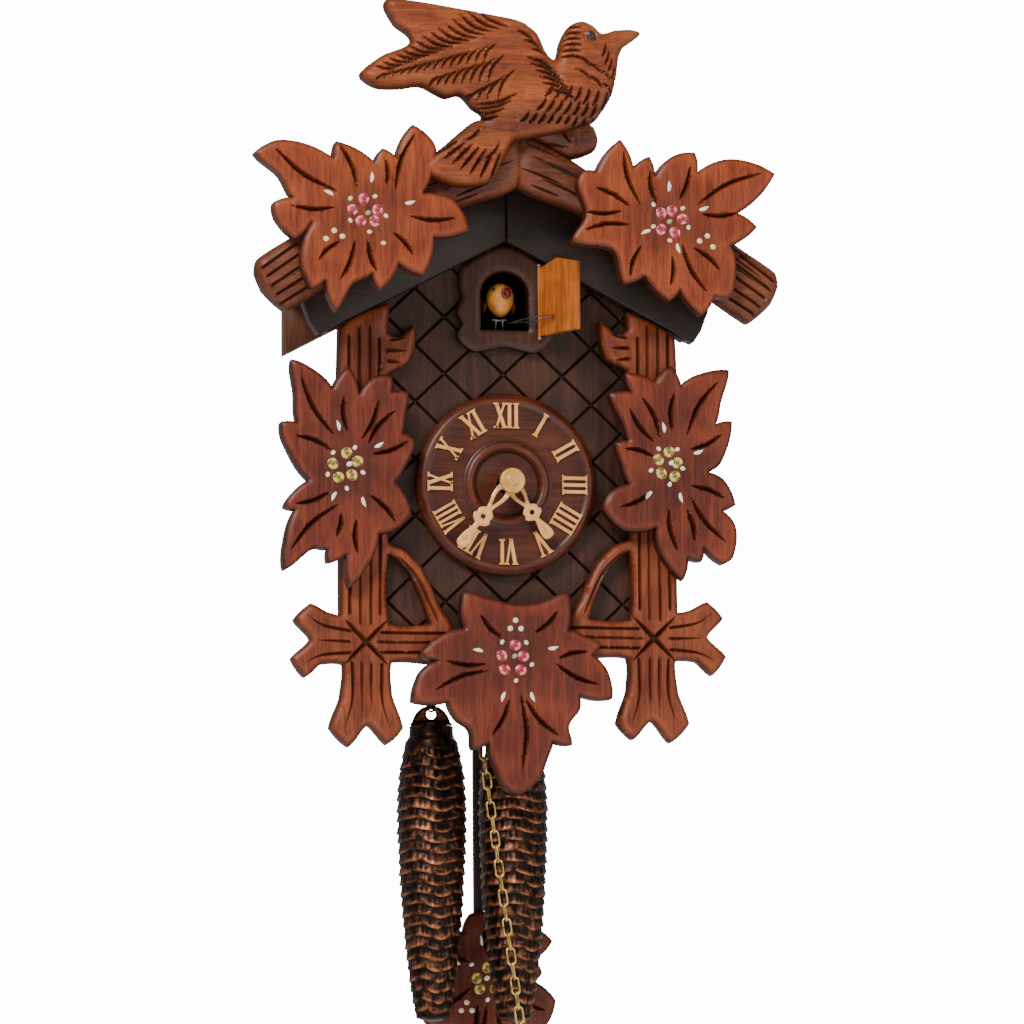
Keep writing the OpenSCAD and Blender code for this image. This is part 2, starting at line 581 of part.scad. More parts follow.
// Wire that pulls the door, from its staple on the door's inner face to the bird's arm
link_wire = 0.4;
link_z = -25;
door_staple = [hinge_x, hinge_y, link_z] + 10 * [-cos(door_open), -sin(door_open), 0]
  + 0.9 * [-sin(door_open), cos(door_open), 0];
link_end = [2.2, -74.6, link_z];
module door_link() color("#c8c8cc") hull() {
  translate(door_staple) sphere(link_wire, $fn = 16);
  translate(link_end) sphere(link_wire, $fn = 16);
}

// ---- Whistles and bellows ----
box_in = plate_half + 1.5;
box_out = half_w - board_t;
box_front = front_plate_y + air;
box_back = box_front + 22;
box_top = -44;
module whistle_boxes() color("#c8a070") for (s = [0, 1]) mirror([s, 0, 0]) difference() {
  block([box_in, box_front, -118], [box_out, box_back, box_top]);
  block([box_in + 2, box_front + 2, -117], [box_out - 2, box_back - 2, box_top - 3]);
  block([box_in - 1, box_front + 5, -60], [box_in + 3, box_back - 5, -56]);
}
lid_rise = 6;
lid_z = box_top + lid_rise + 0.2;
module lid() color("#c8a070") {
  block([box_in, box_front, lid_z], [box_out, box_back, lid_z + 2]);
}
module left_bellows_lid() mirror([1, 0, 0]) lid();
module right_bellows_lid() lid();
module cloth() color("#e8e2d4") difference() {
  block([box_in + 0.5, box_front + 0.5, box_top + 0.1], [box_out - 0.5, box_back - 0.5, lid_z - 0.1]);
  block([box_in + 1, box_front + 1, box_top], [box_out - 1, box_back - 1, lid_z]);
}
module left_bellows_cloth() mirror([1, 0, 0]) cloth();
module right_bellows_cloth() cloth();

// ---- Back cover ----
cover_low = -case_drop + board_t + air;
module back_cover() color("#a07848") difference() {
  union() {
    block([cover_pin[0] - 0.8, cover_pin[1] - 1, cover_low], [half_w - board_t - air, cover_pin[1] + 1, rail_low - air]);
    translate([cover_pin[0], cover_pin[1], -case_drop + 0.5]) cylinder(h = case_drop - 0.5 + rail_low + 5, r = 1);
  }
  for (z = [-60:-8:-100]) block([-18, -6, z - 1.5], [-2, 0, z + 1.5]);
}
module back_latch() color("#d8b355") upright(-0.2, 1) translate(latch_at) difference() {
  union() {
    translate([-1, -2.5]) square([10, 5]);
    circle(2.5);
  }
  circle(latch_pin_r + run_gap);
}

// ---- Chains, sprockets and weights ----
link_w = 3.7;
link_l = link_pitch + 2 * wire_d + 0.1;
link_ring = (link_w - wire_d) / 2;
link_leg = link_l - link_w;
module half_link() {
  translate([0, 0, link_leg / 2]) rotate([90, 0, 0]) rotate_extrude(angle = 180)
    translate([link_ring, 0]) circle(wire_d / 2, $fn = 24);
  for (s = [-1, 1]) translate([s * link_ring, 0, 0]) cylinder(h = link_leg / 2, r = wire_d / 2, $fn = 24);
}
module link() {
  half_link();
  mirror([0, 0, 1]) half_link();
}
// Point at distance s along a path
function along(path, s, i = 0) = let (step = path[i + 1] - path[i], d = norm(step))
  s <= d || i == len(path) - 2 ? path[i] + step * s / d : along(path, s - d, i + 1);
// Link n lies between two neighbouring joints of the path, every second one turned a quarter
module link_on(path, n) {
  start = along(path, n * link_pitch);
  end = along(path, (n + 1) * link_pitch);
  dir = (end - start) / norm(end - start);
  lean = acos(dir[2]);
  side = lean > 179.9 ? 0 : atan2(dir[1], dir[0]);
  translate((start + end) / 2) rotate([0, lean, side]) rotate([0, 0, n % 2 * 90 + side]) link();
}
module chain(path, count) for (n = [0:count - 1]) link_on(path, n);

// Three links lie over the top of a sprocket, and each strand starts beside its hub
arc_step = 2 * atan((link_l / 2 - wire_d / 2 - 0.55) / sprocket_r);
strand_top = great_at[1] + link_pitch / 2 - 0.8;
module sprocket(x) {
  at = [x, great_at[1]];
  difference() {
    union() {
      bar(at, chain_y - 3.6, chain_y - 2.4, 9);
      bar(at, chain_y + 2.4, chain_y + 3.6, 9);
      bar(at, chain_y - 2.5, chain_y + 2.5, sprocket_r - link_w / 2 - 0.6);
    }
    bar(at, chain_y - 5, chain_y + 5, 1.2 + run_gap);
  }
  for (k = [-1:1]) translate([x, chain_y, great_at[1]]) rotate([0, k * arc_step, 0])
    translate([0, 0, sprocket_r]) rotate([0, 90, 0]) rotate([0, 0, k % 2 == 0 ? 90 : 0]) link();
}
module time_sprocket() color("#c89c48") sprocket(-time_x);
module strike_sprocket() color("#c89c48") sprocket(strike_x);

// The last link of the weight's strand passes through the eye
strand_count = 13;
eye_r = 1.9;
eye_z = strand_top - strand_count * link_pitch + link_pitch / 2 - (link_l - wire_d) / 2 - eye_r
  + wire_d / 2 + 0.4;
module weight(x) {
  translate([x, chain_y, eye_z]) rotate_extrude() polygon([[0, -3], [5, -3.2], [8.2, -5], [8.6, -9],
    [10, -10.6], [10.8, -14], [weight_r - 0.8, -21], [weight_r, -32], [weight_r, -44],
    [weight_r - 0.6, -56], [weight_r - 1.5, -weight_h + 41], [weight_r - 2.9, -weight_h + 25],
    [weight_r - 4.7, -weight_h + 11], [6.8, -weight_h + 1], [0, -weight_h]]);
  translate([x, chain_y, eye_z]) rotate([90, 0, 0]) linear_extrude(1.5, center = true) difference() {
    hull() {
      circle(eye_r + 1.5);
      translate([-7.4, -5]) square([14.8, 2.4]);
    }
    circle(eye_r);
  }
  chain([[x, chain_y, strand_top], [x, chain_y, strand_top - 100]], strand_count);
}
module left_weight() color("#5a2c1e") weight(-time_x - sprocket_r);
module right_weight() color("#5a2c1e") weight(strike_x - sprocket_r);

// Pull chains hang from the other side of each sprocket and end in a ring
ring_r = 6;
ring_wire = 0.8;
module pull_chain(path, count) {
  chain(path, count);
  last = along(path, (count - 0.5) * link_pitch);
  translate(last - [0, 0, link_l / 2 - wire_d + ring_r - ring_wire - 0.1])
    rotate([0, 90, 0]) rotate_extrude() translate([ring_r, 0]) circle(ring_wire, $fn = 24);
}
left_pull_path = [[-time_x + sprocket_r, chain_y, strand_top], [-time_x + sprocket_r, chain_y, -140],
  [-5, -61, -184], [8, -61.5, -282], [8, -61.5, -400]];
right_pull_path = [[strike_x + sprocket_r, chain_y, strand_top], [strike_x + sprocket_r, chain_y, -140],
  [16, -28.5, -186], [14, -28.5, -400]];
module left_pull_chain() color("#c89c48") pull_chain(left_pull_path, 43);
module right_pull_chain() color("#c89c48") pull_chain(right_pull_path, 43);

front_panel();
left_side();
right_side();
case_floor();
back_rail();
hanger_plate();
roof_left();
roof_right();
gable_fascia();
left_branch();
right_branch();
perch_log();
crown_bird();
top_left_leaf();
top_right_leaf();
left_leaf();
right_leaf();
bottom_leaf();
left_post();
right_post();
dial();
numerals();
door_surround();
front_plate();
back_plate();
whistle_boxes();
gong();
back_cover();
back_latch();
cuckoo_door();
door_link();
cuckoo_arm();
cuckoo();
cuckoo_wings();
hour_hand();
minute_hand();
hand_nut();
centre_wheel();
hour_wheel();
minute_wheel();
great_wheel();
second_wheel();
escape_wheel();
anchor();
pendulum_rod();
pendulum_bob();
strike_wheel();
pin_wheel();
fly();
hammer();
left_bellows_lid();
right_bellows_lid();
left_bellows_cloth();
right_bellows_cloth();
time_sprocket();
strike_sprocket();
left_weight();
right_weight();
left_pull_chain();
right_pull_chain();
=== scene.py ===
"""Looks of a carved cuckoo clock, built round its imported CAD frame.

Shapes are written in millimetres in the shared frame (x right, y into the wall, z up).
Each is scaled to metres when its mesh is made.
"""
import math
import random

import bpy
import numpy as np
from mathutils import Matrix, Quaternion, Vector
from mathutils.geometry import delaunay_2d_cdt


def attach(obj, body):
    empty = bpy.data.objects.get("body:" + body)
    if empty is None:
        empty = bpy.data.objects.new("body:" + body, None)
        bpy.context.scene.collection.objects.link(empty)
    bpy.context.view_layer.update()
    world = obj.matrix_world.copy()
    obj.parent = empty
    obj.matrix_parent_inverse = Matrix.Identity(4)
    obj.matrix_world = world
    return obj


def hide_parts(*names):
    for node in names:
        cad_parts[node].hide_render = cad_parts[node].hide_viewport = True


MM = 0.001
TAU = 2 * math.pi

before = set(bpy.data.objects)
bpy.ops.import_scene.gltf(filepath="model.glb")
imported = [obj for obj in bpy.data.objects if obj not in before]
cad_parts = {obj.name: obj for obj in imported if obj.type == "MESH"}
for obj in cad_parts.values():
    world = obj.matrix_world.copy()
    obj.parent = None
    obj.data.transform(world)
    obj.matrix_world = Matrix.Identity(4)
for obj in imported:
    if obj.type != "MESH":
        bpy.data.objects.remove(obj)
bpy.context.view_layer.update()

# ---- Camera, light and stage ----
AZIMUTH, ELEVATION, ROLL = math.radians(-12), math.radians(-7.4), math.radians(-0.4)
DISTANCE, LENS = 2.5, 240.8
TARGET = Vector((0.0022, -0.080, -0.096))
level = math.cos(ELEVATION)
away = Vector((math.sin(AZIMUTH) * level, -math.cos(AZIMUTH) * level, math.sin(ELEVATION)))
camera = bpy.data.objects.new("Camera", bpy.data.cameras.new("Camera"))
bpy.context.collection.objects.link(camera)
camera.location = TARGET + away * DISTANCE
camera.rotation_mode = "QUATERNION"
camera.rotation_quaternion = (-away).to_track_quat("-Z", "Y") @ Quaternion((0, 0, 1), ROLL)
camera.data.lens = LENS
camera.data.clip_start, camera.data.clip_end = 0.05, 50
bpy.context.scene.camera = camera


def area_light(name, place, size, watts, colour=(1, 1, 1)):
    light = bpy.data.lights.new(name, "AREA")
    light.shape, light.size, light.energy, light.color = "DISK", size, watts, colour
    holder = bpy.data.objects.new(name, light)
    bpy.context.collection.objects.link(holder)
    holder.location = place
    holder.rotation_mode = "QUATERNION"
    holder.rotation_quaternion = (TARGET - Vector(place)).to_track_quat("-Z", "Y")


area_light("key", (-1.1, -1.7, 1.2), 0.8, 60, (1, 0.97, 0.93))
area_light("fill", (1.5, -1.9, 0.1), 1.4, 14)
area_light("low_fill", (-0.3, -1.8, -1.0), 1.2, 9)
area_light("back_light", (0.6, 1.7, 0.8), 1.0, 26)


def add(tree, kind, inputs=None, **settings):
    """A node with its settings, and its inputs given as values or as sockets to link."""
    made = tree.nodes.new(kind)
    for key, value in settings.items():
        setattr(made, key, value)
    for key, value in (inputs or {}).items():
        if isinstance(value, bpy.types.NodeSocket):
            tree.links.new(value, made.inputs[key])
        else:
            made.inputs[key].default_value = value
    return made


world = bpy.data.worlds.new("studio")
bpy.context.scene.world = world
world.use_nodes = True
sky = world.node_tree
sky.nodes.clear()
soft = add(sky, "ShaderNodeBackground", {"Color": (0.97, 0.98, 1, 1), "Strength": 0.38})
paper = add(sky, "ShaderNodeBackground", {"Color": (1, 1, 1, 1), "Strength": 14.0})
seen = add(sky, "ShaderNodeLightPath")
either = add(sky, "ShaderNodeMixShader",
             {0: seen.outputs["Is Camera Ray"], 1: soft.outputs[0], 2: paper.outputs[0]})
add(sky, "ShaderNodeOutputWorld", {"Surface": either.outputs[0]})


# ---- Materials ----
def rgb(red, green, blue):
    """Linear colour of an ordinary 0-255 one."""
    linear = [((c / 255 + 0.055) / 1.055) ** 2.4 if c > 10 else c / 255 / 12.92 for c in (red, green, blue)]
    return (*linear, 1)


def blank(name):
    """A new material, its tree and its principled shader, which feeds the output."""
    material = bpy.data.materials.new(name)
    material.use_nodes = True
    tree = material.node_tree
    tree.nodes.clear()
    shader = add(tree, "ShaderNodeBsdfPrincipled")
    add(tree, "ShaderNodeOutputMaterial", {"Surface": shader.outputs[0]})
    return material, tree, shader


def value_of(shader, **values):
    """Sets inputs of a shader; their names are written with _ for a space."""
    for key, value in values.items():
        shader.inputs[key.replace("_", " ")].default_value = value


def drive(tree, shader, colour, rough):
    """Links a colour and a roughness to the shader."""
    tree.links.new(colour, shader.inputs["Base Color"])
    tree.links.new(rough, shader.inputs["Roughness"])


def mapped(tree, scale):
    """Object coordinates stretched by scale, in features per metre."""
    place = add(tree, "ShaderNodeTexCoord")
    return add(tree, "ShaderNodeMapping", {"Vector": place.outputs["Object"], "Scale": scale}).outputs[0]


def noise(tree, scale, detail=4.0, rough=0.55, warp=0.0):
    return add(tree, "ShaderNodeTexNoise", {"Vector": mapped(tree, scale), "Scale": 1.0, "Detail": detail,
                                            "Roughness": rough, "Distortion": warp}).outputs["Fac"]


def ramp(tree, factor, stops):
    made = add(tree, "ShaderNodeValToRGB", {"Fac": factor})
    bar = made.color_ramp
    while len(bar.elements) < len(stops):
        bar.elements.new(0.5)
    for element, (place, colour) in zip(bar.elements, stops):
        element.position = place
        element.color = colour if len(colour) == 4 else (*colour, 1)
    return made.outputs["Color"]


def mix(tree, factor, first, second, blend="MIX"):
    mixed = add(tree, "ShaderNodeMix", {0: factor, 6: first, 7: second}, data_type="RGBA", blend_type=blend)
    return mixed.outputs[2]


def maths(tree, kind, first, second=0.0):
    return add(tree, "ShaderNodeMath", {0: first, 1: second}, operation=kind, use_clamp=True).outputs[0]


def spread(tree, value, low, high):
    return add(tree, "ShaderNodeMapRange", {"Value": value, "To Min": low, "To Max": high}).outputs[0]


def bump(tree, shader, height, strength, distance):
    made = add(tree, "ShaderNodeBump", {"Height": height, "Strength": strength, "Distance": distance})
    tree.links.new(made.outputs[0], shader.inputs["Normal"])


def attribute(tree, name):
    return add(tree, "ShaderNodeAttribute", attribute_name=name).outputs["Fac"]


def wood(name, dark, mid, light, shade_and_stain=(20, 9, 5), grain=(0, 0, 1), gloss=0.46, coat=0.07, streak=0.55):
    """Stained wood: long grain along one axis, pores, cloudy staining, painted shade in the cuts and on edges
    and side walls, and rubbed edges.
    """
    material, tree, shader = blank(name)
    along = [1.0 - g for g in grain]
    long = tuple(420 * a + 22 * g for a, g in zip(along, grain))
    fine = tuple(2300 * a + 90 * g for a, g in zip(along, grain))
    figure = noise(tree, long, 5, 0.6, 0.6)
    pores = noise(tree, fine, 2, 0.5)
    cloud = noise(tree, (34, 34, 34), 3)
    base = ramp(tree, figure, [(0.2, rgb(*dark)), (0.5, rgb(*mid)), (0.82, rgb(*light))])
    warmth = ramp(tree, noise(tree, (62, 62, 62), 2), [(0.45, (0, 0, 0)), (0.75, (0.7, 0.7, 0.7))])
    glow = mix(tree, warmth, base, rgb(*light))
    tone = mix(tree, spread(tree, cloud, 0.0, streak), glow, rgb(*dark))
    pore = ramp(tree, pores, [(0.38, (1, 1, 1)), (0.5, (0, 0, 0))])
    pored = mix(tree, maths(tree, "MULTIPLY", pore, 0.4), tone, rgb(*shade_and_stain))
    # Painted shade: the mesh's darkening attribute pulls cuts, carved edges and side walls towards the
    # darkest colour.
    cut = attribute(tree, "shade_and_stain")
    shaded_cuts = mix(tree, maths(tree, "MULTIPLY", cut, 0.93), pored, rgb(*shade_and_stain))
    rubbed = mix(tree, maths(tree, "MULTIPLY", attribute(tree, "wear"), 0.45), shaded_cuts, rgb(*light))
    drive(tree, shader, rubbed, spread(tree, figure, gloss - 0.1, gloss + 0.16))
    value_of(shader, Specular_IOR_Level=0.28, Coat_Weight=coat, Coat_Roughness=0.28)
    relief = mix(tree, 0.5, figure, pores)
    bump(tree, shader, relief, 0.35, 0.00025)
    return material


def metal(name, base, worn, rough=0.3, scale=160, grime_and_shade=(30, 22, 14), metallic=1.0):
    """Metal with cloudy tarnish, fine scratches, and bare bright metal where it rubs."""
    material, tree, shader = blank(name)
    cloud = noise(tree, (scale, scale, scale), 5, 0.6)
    scratch = noise(tree, (3500, 3500, 260), 2, 0.5)
    colour = ramp(tree, cloud, [(0.28, rgb(*grime_and_shade)), (0.5, rgb(*base)), (0.8, rgb(*worn))])
    rubbed = mix(tree, attribute(tree, "wear"), colour, rgb(*worn))
    # Darkening from the mesh, towards the grime colour: patina in the cones' hollows and on the collars, and
    # painted shade on the weight lugs' edges and side walls.
    patina_and_shade = mix(tree, maths(tree, "MULTIPLY", attribute(tree, "shade_and_stain"), 0.9), rubbed, rgb(*grime_and_shade))
    drive(tree, shader, patina_and_shade, spread(tree, cloud, rough - 0.08, rough + 0.2))
    value_of(shader, Metallic=metallic)
    bump(tree, shader, mix(tree, 0.4, cloud, scratch), 0.25, 0.0001)
    return material


def coated(name, base, second, rough=0.45, scale=220, speck_and_shade=(90, 60, 30), coat=0.2):
    """Paint, bone or moulded plastic with mottled tone, specks and a slight orange peel."""
    material, tree, shader = blank(name)
    cloud = noise(tree, (scale, scale, scale), 4, 0.6)
    dust = noise(tree, (scale * 14,) * 3, 2)
    colour = ramp(tree, cloud, [(0.35, rgb(*base)), (0.68, rgb(*second))])
    marks = ramp(tree, dust, [(0.3, (1, 1, 1)), (0.36, (0, 0, 0))])
    speckled = mix(tree, maths(tree, "MULTIPLY", marks, 0.3), colour, rgb(*speck_and_shade))
    # Painted shade on the carved hands' edges and side walls, and the cuckoo body darker towards the bottom,
    # both mixed towards the speck colour.
    edged = mix(tree, maths(tree, "MULTIPLY", attribute(tree, "shade_and_stain"), 0.85), speckled, rgb(*speck_and_shade))
    drive(tree, shader, edged, spread(tree, cloud, rough - 0.08, rough + 0.12))
    value_of(shader, Coat_Weight=coat)
    bump(tree, shader, mix(tree, 0.5, cloud, dust), 0.2, 0.00012)
    return material


def paint():
    """Enamel dabs that take their tint from the mesh, with brush ridges."""
    material, tree, shader = blank("flower_enamel")
    tint = add(tree, "ShaderNodeAttribute", attribute_name="tint").outputs["Color"]
    brush = noise(tree, (900, 900, 2600), 3)
    mottled = mix(tree, spread(tree, brush, 0.0, 0.3), tint, rgb(120, 80, 60), "MULTIPLY")
    drive(tree, shader, mottled, spread(tree, brush, 0.22, 0.42))
    value_of(shader, Coat_Weight=0.3)
    bump(tree, shader, brush, 0.3, 0.00015)
    return material


def cloth(name):
    """Woven cotton with a diagonal thread."""
    material, tree, shader = blank(name)
    weave = add(tree, "ShaderNodeTexWave", {"Vector": mapped(tree, (1, 1, 1)), "Scale": 1400.0,
                                            "Distortion": 0.4}, bands_direction="DIAGONAL")
    threads = weave.outputs["Fac"]
    cloud = noise(tree, (150, 150, 150), 3)
    colour = mix(tree, spread(tree, cloud, 0.1, 0.9), rgb(224, 216, 198), rgb(190, 178, 152))
    woven = mix(tree, spread(tree, threads, 0, 0.3), colour, rgb(140, 126, 100))
    tree.links.new(woven, shader.inputs["Base Color"])
    value_of(shader, Roughness=0.9)
    bump(tree, shader, threads, 0.4, 0.0001)
    return material


LEAF_WOOD = wood("carved_wood", (86, 27, 10), (134, 54, 20), (178, 86, 38))
RED_WOOD = wood("carved_wood_red", (58, 17, 8), (100, 34, 15), (146, 62, 28))
BIRD_WOOD = wood("carved_wood_bird", (86, 33, 13), (134, 60, 25), (184, 98, 44), grain=(1, 0, 0))
LOG_WOOD = wood("log_wood", (54, 22, 10), (98, 44, 20), (142, 72, 36), grain=(1, 0, 0))
POST_WOOD = wood("post_wood", (68, 23, 10), (112, 46, 20), (158, 78, 38), streak=0.35)
DARK_WOOD = wood("dark_panel_wood", (34, 15, 7), (56, 28, 14), (86, 44, 24), shade_and_stain=(10, 5, 3))
FASCIA_WOOD = wood("fascia_wood", (22, 11, 6), (38, 20, 12), (60, 34, 21), shade_and_stain=(8, 5, 4), grain=(1, 0, 0))
SIDE_WOOD = wood("stained_side_wood", (62, 28, 13), (92, 46, 24), (118, 66, 38))
ROOF_WOOD = wood("roof_wood", (50, 28, 18), (76, 42, 28), (100, 62, 42), grain=(0, 1, 0))
RAW_WOOD = wood("raw_wood", (150, 108, 66), (184, 140, 92), (208, 170, 122), shade_and_stain=(84, 54, 30),
                grain=(1, 0, 0), coat=0, gloss=0.6)
DOOR_WOOD = wood("door_wood", (112, 50, 16), (170, 88, 30), (220, 126, 48), shade_and_stain=(70, 30, 12))
DIAL_WOOD = wood("dial_wood", (46, 15, 6), (76, 30, 13), (106, 48, 23), shade_and_stain=(18, 7, 4), grain=(1, 0, 0),
                 gloss=0.38, coat=0.12)
ROD_WOOD = wood("rod_wood", (30, 17, 11), (46, 27, 18), (66, 42, 28))
CREAM = coated("numeral_cream", (222, 160, 92), (196, 130, 66), speck_and_shade=(110, 62, 26))
HAND_CREAM = coated("hand_cream", (238, 174, 106), (218, 148, 80), speck_and_shade=(130, 76, 32))
NUT = coated("hand_nut_bone", (210, 154, 72), (176, 118, 50), rough=0.32, speck_and_shade=(110, 72, 28), coat=0.4)
BRASS = metal("brass", (190, 150, 78), (226, 192, 118), 0.28, grime_and_shade=(112, 82, 38))
CHAIN = metal("brass_chain", (206, 166, 92), (246, 216, 146), 0.24, 420, grime_and_shade=(108, 78, 38))
STEEL = metal("steel", (150, 150, 154), (206, 206, 210), 0.3, grime_and_shade=(78, 74, 70))
IRON = metal("cone_copper", (52, 30, 21), (190, 118, 80), 0.34, 300, grime_and_shade=(16, 11, 9), metallic=0.85)
BIRD_PAINT = coated("cuckoo_body", (240, 166, 72), (222, 134, 52), speck_and_shade=(120, 66, 22))
WING_PAINT = coated("cuckoo_wing", (168, 74, 30), (130, 50, 20), speck_and_shade=(60, 22, 10))
MOUTH_PAINT = coated("cuckoo_mouth", (150, 34, 14), (104, 20, 10), speck_and_shade=(40, 8, 6))
BLACK_PAINT = coated("eye_black", (16, 10, 8), (30, 20, 14), rough=0.42, speck_and_shade=(8, 6, 5), coat=0.15)
ENAMEL = paint()
CLOTH = cloth("bellows_cloth")


# ---- Mesh tools ----
def piece(name, verts, faces, material, body, nodes=(), values=None, tint=None, sharp=38):
    """A mesh piece from millimetre points that rides on a body and may stand for CAD nodes."""
    data = bpy.data.meshes.new(name)
    data.from_pydata((np.asarray(verts, float) * MM).tolist(), [], [list(map(int, f)) for f in faces])
    data.validate()
    for key, numbers in (values or {}).items():
        data.attributes.new(key, "FLOAT", "POINT").data.foreach_set("value", np.asarray(numbers, np.float32))
    if tint is not None:
        colours = np.asarray(tint, np.float32).ravel()
        data.attributes.new("tint", "FLOAT_COLOR", "POINT").data.foreach_set("color", colours)
    data.materials.append(material)
    data.shade_smooth()
    data.set_sharp_from_angle(angle=math.radians(sharp))
    made = bpy.data.objects.new(name, data)
    bpy.context.collection.objects.link(made)
    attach(made, body)
    if nodes:
        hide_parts(*nodes)
    return made


def petal_line(points, step, bulge=0.3, sharp=48):
    """Points about step apart on a closed line: sharp turns stay sharp, with full curved sides between."""
    pts = np.asarray(points, float)
    count = len(pts)
    ahead = np.roll(pts, -1, 0) - pts
    behind = np.roll(ahead, 1, 0)
    after = np.roll(pts, -1, 0)
    side = math.copysign(1.0, float((pts[:, 0] * after[:, 1] - after[:, 0] * pts[:, 1]).sum()))
    cross = behind[:, 0] * ahead[:, 1] - behind[:, 1] * ahead[:, 0]
    turn = np.degrees(np.arctan2(cross, (behind * ahead).sum(1)))
    corner = abs(turn) > sharp
    made = []
    for i in range(count):
        j = (i + 1) % count
        chord = ahead[i]
        span = np.linalg.norm(chord)
        push = np.array([chord[1], -chord[0]]) * side * bulge
        through = [pts[(k + 1) % count] - pts[k - 1] for k in (i, j)]
        out, back = [way / max(np.linalg.norm(way), 1e-9) * span for way in through]
        if corner[i]:
            out = chord + push
        if corner[j]:
            back = chord - push
        parts = max(1, int(round(span / step)))
        for k in range(parts):
            t = k / parts
            a, b = t * t * (3 - 2 * t), t * (1 - t) ** 2
            made.append(pts[i] + chord * a + out * b - back * t * t * (1 - t))
    return np.array(made)


def curve_through(points, step, closed=True, soft=0.75):
    """Points about step apart on a smooth line through points; soft 0 keeps it straight."""
    pts = np.asarray(points, float)
    count = len(pts)
    made = []
    for i in range(count if closed else count - 1):
        if closed:
            p0, p1, p2, p3 = pts[i - 1], pts[i], pts[(i + 1) % count], pts[(i + 2) % count]
        else:
            p0, p1, p2, p3 = pts[max(i - 1, 0)], pts[i], pts[i + 1], pts[min(i + 2, count - 1)]
        span = np.linalg.norm(p2 - p1)
        out = p2 - p0
        back = p3 - p1
        out = out / max(np.linalg.norm(out), 1e-9) * span * soft
        back = back / max(np.linalg.norm(back), 1e-9) * span * soft
        parts = max(1, int(round(span / step)))
        for j in range(parts):
            t = j / parts
            a, b = t * t * (3 - 2 * t), t * (1 - t) ** 2
            made.append(p1 + (p2 - p1) * (a * soft + t * (1 - soft)) + out * b - back * t * t * (1 - t))
    if not closed:
        made.append(pts[-1])
    return np.array(made)


def segment_reach(points, starts, ends):
    """Distance from each point to each segment, and the place along it from 0 to 1."""
    line = ends - starts
    length = np.maximum((line ** 2).sum(1), 1e-12)
    t = np.clip(((points[:, None, :] - starts[None]) * line[None]).sum(2) / length[None], 0, 1)
    near = starts[None] + t[..., None] * line[None]
    return np.sqrt(((points[:, None, :] - near) ** 2).sum(2)), t


def edge_reach(points, loops):
    """Distance from each point to the nearest loop."""
    best = np.full(len(points), 1e9)
    for loop in loops:
        ends = np.roll(loop, -1, axis=0)
        for first in range(0, len(points), 4000):
            part = slice(first, first + 4000)
            best[part] = np.minimum(best[part], segment_reach(points[part], loop, ends)[0].min(1))
    return best


def inside(points, loops):
    """True where a point is in the outer loop and in no hole."""
    odd = np.zeros(len(points), bool)
    for loop in loops:
        for (x0, z0), (x1, z1) in zip(loop, np.roll(loop, -1, axis=0)):
            if z0 == z1:
                continue
            crossing = (z0 > points[:, 1]) != (z1 > points[:, 1])
            odd ^= crossing & (points[:, 0] < (x1 - x0) * (points[:, 1] - z0) / (z1 - z0) + x0)
    return odd


def ripple(points, size, seed):
    """Smooth random waviness from -1 to 1, with features about size across."""
    dice = random.Random(seed)
    total = np.zeros(len(points))
    for _ in range(7):
        angle, phase, scale = dice.uniform(0, TAU), dice.uniform(0, TAU), size * dice.uniform(0.7, 1.7)
        along = points[:, 0] * math.cos(angle) + points[:, 1] * math.sin(angle)
        total += np.sin(along * TAU / scale + phase)
    return total / 4.5


class Cut:
    """A V-shaped gouge cut along a line: half its width, its depth, and whether it tapers to both ends."""

    def __init__(self, line, half=0.75, depth=1.3, taper="both", bend=0.0):
        pts = np.asarray(line, float).reshape(-1, 2)
        if bend and len(pts) == 2:
            way = pts[1] - pts[0]
            pts = np.array([pts[0], (pts[0] + pts[1]) / 2 + bend * np.array([-way[1], way[0]]), pts[1]])
        self.line = curve_through(pts, 1.2, closed=False, soft=1.0 if len(pts) > 2 else 0.0)
        self.half, self.depth, self.taper = half, depth, taper
        self.low = self.line.min(0) - half
        self.high = self.line.max(0) + half

    def share(self, t):
        if self.taper == "both":
            return np.clip(np.sin(np.pi * np.clip(t, 0, 1)) ** 0.6 * 1.02, 0, 1)
        if self.taper == "end":
            return np.clip((1 - t) * 1.5, 0, 1) ** 0.7
        return np.ones_like(t)

    def depth_at(self, points):
        cut = np.zeros(len(points))
        near = np.all((points > self.low) & (points < self.high), axis=1)
        if near.any():
            reach, t = segment_reach(points[near], self.line[:-1], self.line[1:])
            which = reach.argmin(1)
            rows = np.arange(len(which))
            place = (which + t[rows, which]) / (len(self.line) - 1)
            share = self.share(place)
            width = np.maximum(self.half * share, 1e-3)
            cut[near] = self.depth * share * np.clip(1 - reach[rows, which] / width, 0, 1)
        return cut

    def guide(self):
        way = np.gradient(self.line, axis=0)
        way /= np.maximum(np.linalg.norm(way, axis=1, keepdims=True), 1e-9)
        side = np.stack([-way[:, 1], way[:, 0]], 1)
        t = np.linspace(0, 1, len(self.line))
        wide = (self.half * self.share(t))[:, None] * side
        return np.concatenate([self.line, self.line + wide, self.line - wide])


